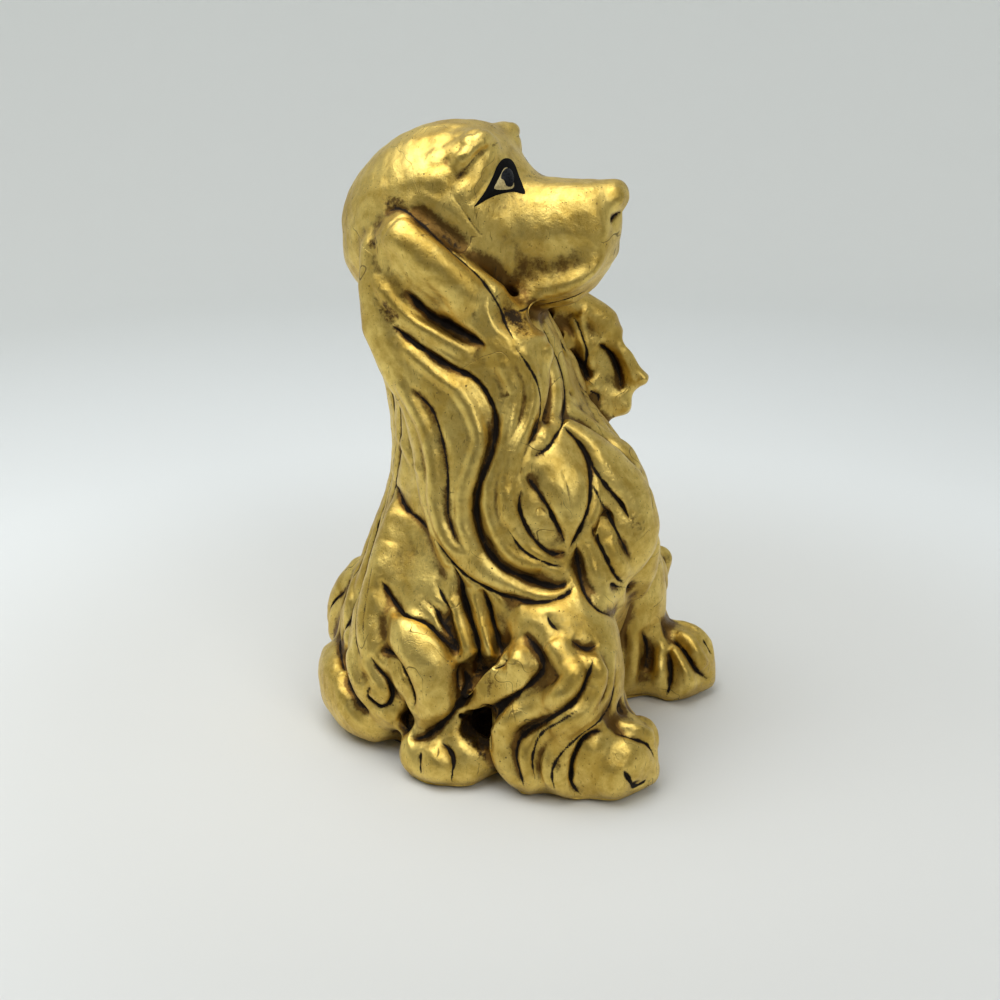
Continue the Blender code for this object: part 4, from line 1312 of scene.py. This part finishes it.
def felt_cloth():
    """Dark pressed wool felt."""
    web = Web("pressed_felt")
    place = web.add("TexCoord").outputs["Object"]
    fuzz = web.noise(place, 2600.0, 5.0, 0.7)
    clumps = web.noise(place, 240.0, 3.0, 0.6)
    wool = web.blend(web.span(fuzz, 0.35, 0.7), opaque((0.010, 0.010, 0.011)), opaque((0.045, 0.044, 0.043)))
    height = web.sum("ADD", fuzz, clumps)
    bump = web.add("Bump", {"Strength": 0.6, "Distance": 0.0005, "Height": height}).outputs[0]
    return web.finish({"Base Color": wool, "Roughness": 0.95, "Normal": bump, "Sheen Weight": 0.3})


def felt_rim():
    """The felt's outline in order, its middle and its top, read from the frame."""
    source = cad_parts["felt_base"].data
    spots = np.unique(np.round([tuple(v.co) for v in source.vertices], 6), axis=0)
    top = spots[:, 2].max()
    middle = spots.mean(axis=0)[:2]
    rim = spots[np.abs(spots[:, 2] - top) < WELD][:, :2]
    rim = rim[np.linalg.norm(rim - middle, axis=1) > FELT_LEAST_RADIUS]
    order = np.argsort(np.arctan2(rim[:, 1] - middle[1], rim[:, 0] - middle[0]))
    return rim[order], middle, top


class SPANIEL_OT_felt(bpy.types.Operator):
    """Lay the felt under the figure"""

    bl_idname = "spaniel.felt"
    bl_label = "Felt"

    def execute(self, context):
        """Make the felt."""
        rim, middle, top = felt_rim()
        count = len(rim)
        points = []
        for height, share in FELT_ROWS:
            for spot in middle + (rim - middle) * share:
                points.append((spot[0], spot[1], height * top))
        faces = ring_quads(len(FELT_ROWS), count)
        last_row = (len(FELT_ROWS) - 1) * count
        faces += [face[::-1] for face in fan(len(points), last_row, count)]
        points.append((middle[0], middle[1], top))
        piece = new_piece("felt_pad", points, faces, [felt_cloth()], "felt_base")
        return {"FINISHED"}


def softbox(name, place, aim, size, power):
    """A square lamp aimed at a point."""
    lamp = bpy.data.lights.new(name, "AREA")
    lamp.shape = "SQUARE"
    lamp.size = size
    lamp.energy = power
    holder = bpy.data.objects.new(name, lamp)
    holder.location = place
    holder.rotation_euler = (Vector(aim) - Vector(place)).to_track_quat("-Z", "Y").to_euler()
    bpy.context.scene.collection.objects.link(holder)


def paper(settings):
    """Pale paper with painted light: greyer up the wall, brightest where it turns up, and painted dim on the
    camera's side.
    """
    web = Web("pale_paper")
    place = web.add("TexCoord").outputs["Object"]
    x, y, _ = web.add("SeparateXYZ", {"Vector": place}).outputs
    across = web.sum("ADD", web.sum("MULTIPLY", x, x), web.sum("MULTIPLY", y, y))
    across = web.sum("SQRT", across)
    # Painted light: the floor is coloured darker by the figure and brighter further out
    colour = web.blend(web.span(across, 0.22, 0.50), opaque(settings.near_floor), opaque(settings.far_floor))
    colour = web.blend(web.span(across, 0.65, 1.45), colour, opaque(settings.wall))
    toward = web.add("VectorMath", {0: place, 1: CAMERA_SIDE}, operation="DOT_PRODUCT").outputs["Value"]
    # Painted shade: the paper on the camera's side is coloured dim, standing in for the unlit room
    colour = web.blend(web.span(toward, 0.04, 0.95), colour, opaque(settings.dim))
    grain = web.noise(place, 700.0, 4.0, 0.6)
    colour = web.blend(web.span(grain, 0.2, 0.8, 0.0, 0.03), colour, opaque((0.55, 0.55, 0.54)))
    return web.finish({"Base Color": colour, "Roughness": 0.9, "Specular IOR Level": 0.2})


def lay_paper(settings):
    """A round floor that turns up into a wall all round."""
    edge = FLOOR_RADII[-1]
    profile = [(radius, 0.0) for radius in FLOOR_RADII]
    for turn in np.linspace(0.1, math.pi / 2, 12):
        profile.append((edge + SWEEP_TURN * math.sin(turn), SWEEP_TURN - SWEEP_TURN * math.cos(turn)))
    profile += [(edge + SWEEP_TURN, height) for height in WALL_HEIGHTS]
    turns = np.arange(SWEEP_SIDES) * 2 * math.pi / SWEEP_SIDES
    points = [(r * math.cos(turn), r * math.sin(turn), z) for r, z in profile for turn in turns]
    faces = [tuple(range(SWEEP_SIDES))] + ring_quads(len(profile), SWEEP_SIDES)
    new_shape("paper_sweep", points, faces, [paper(settings)])


def light_all_round(strength):
    """A world of plain pale light."""
    world = bpy.data.worlds.new("studio")
    world.use_nodes = True
    shade = world.node_tree.nodes["Background"]
    shade.inputs["Color"].default_value = SKY_COLOUR
    shade.inputs["Strength"].default_value = strength
    bpy.context.scene.world = world


def set_camera():
    """The photograph's camera."""
    lens = bpy.data.cameras.new("photo_camera")
    lens.sensor_width = SENSOR_WIDTH
    lens.lens = FOCAL_PIXELS / IMAGE_SIDE * SENSOR_WIDTH
    camera = bpy.data.objects.new("photo_camera", lens)
    camera.location = CAMERA_PLACE
    camera.rotation_euler = [math.radians(angle) for angle in CAMERA_TURN]
    bpy.context.scene.collection.objects.link(camera)
    bpy.context.scene.camera = camera


class SPANIEL_OT_stage(bpy.types.Operator):
    """Set the floor, backdrop, lamps and camera"""

    bl_idname = "spaniel.stage"
    bl_label = "Stage"

    def execute(self, context):
        """Make the stage."""
        settings = context.scene.gilt_dog.stage
        lay_paper(settings)
        softbox("lamp_overhead", TOP_LAMP_PLACE, LAMP_AIM, TOP_LAMP_SIZE, settings.key)
        softbox("lamp_side", SIDE_LAMP_PLACE, LAMP_AIM, SIDE_LAMP_SIZE, settings.fill)
        light_all_round(settings.sky)
        context.scene.view_settings.view_transform = "Standard"
        set_camera()
        return {"FINISHED"}


class SPANIEL_PT_panel(bpy.types.Panel):
    """Lists the steps that make the figure"""

    bl_idname = "SPANIEL_PT_panel"
    bl_label = "Gilded spaniel"
    bl_space_type = "VIEW_3D"
    bl_region_type = "UI"
    bl_category = "Spaniel"

    def draw(self, context):
        """Show a button for each step."""
        for step in STEPS:
            self.layout.operator(step.bl_idname)


STEPS = (SPANIEL_OT_stage, SPANIEL_OT_body, SPANIEL_OT_head, SPANIEL_OT_ears, SPANIEL_OT_ruff,
         SPANIEL_OT_forelegs, SPANIEL_OT_haunches, SPANIEL_OT_eyes, SPANIEL_OT_felt)
CLASSES = (GiltSettings, EyeSettings, StageSettings, DogSettings, *STEPS, SPANIEL_PT_panel)


def register():
    """Add the settings, the steps and the panel."""
    for item in CLASSES:
        bpy.utils.register_class(item)
    bpy.types.Scene.gilt_dog = PointerProperty(type=DogSettings)


def unregister():
    """Take the settings, the steps and the panel away."""
    del bpy.types.Scene.gilt_dog
    for item in reversed(CLASSES):
        bpy.utils.unregister_class(item)


def main():
    """Make the whole figure."""
    register()
    bpy.ops.spaniel.stage()
    bpy.ops.spaniel.body()
    bpy.ops.spaniel.head()
    bpy.ops.spaniel.ears()
    bpy.ops.spaniel.ruff()
    bpy.ops.spaniel.forelegs()
    bpy.ops.spaniel.haunches()
    bpy.ops.spaniel.eyes()
    bpy.ops.spaniel.felt()


if __name__ == "__main__":
    main()
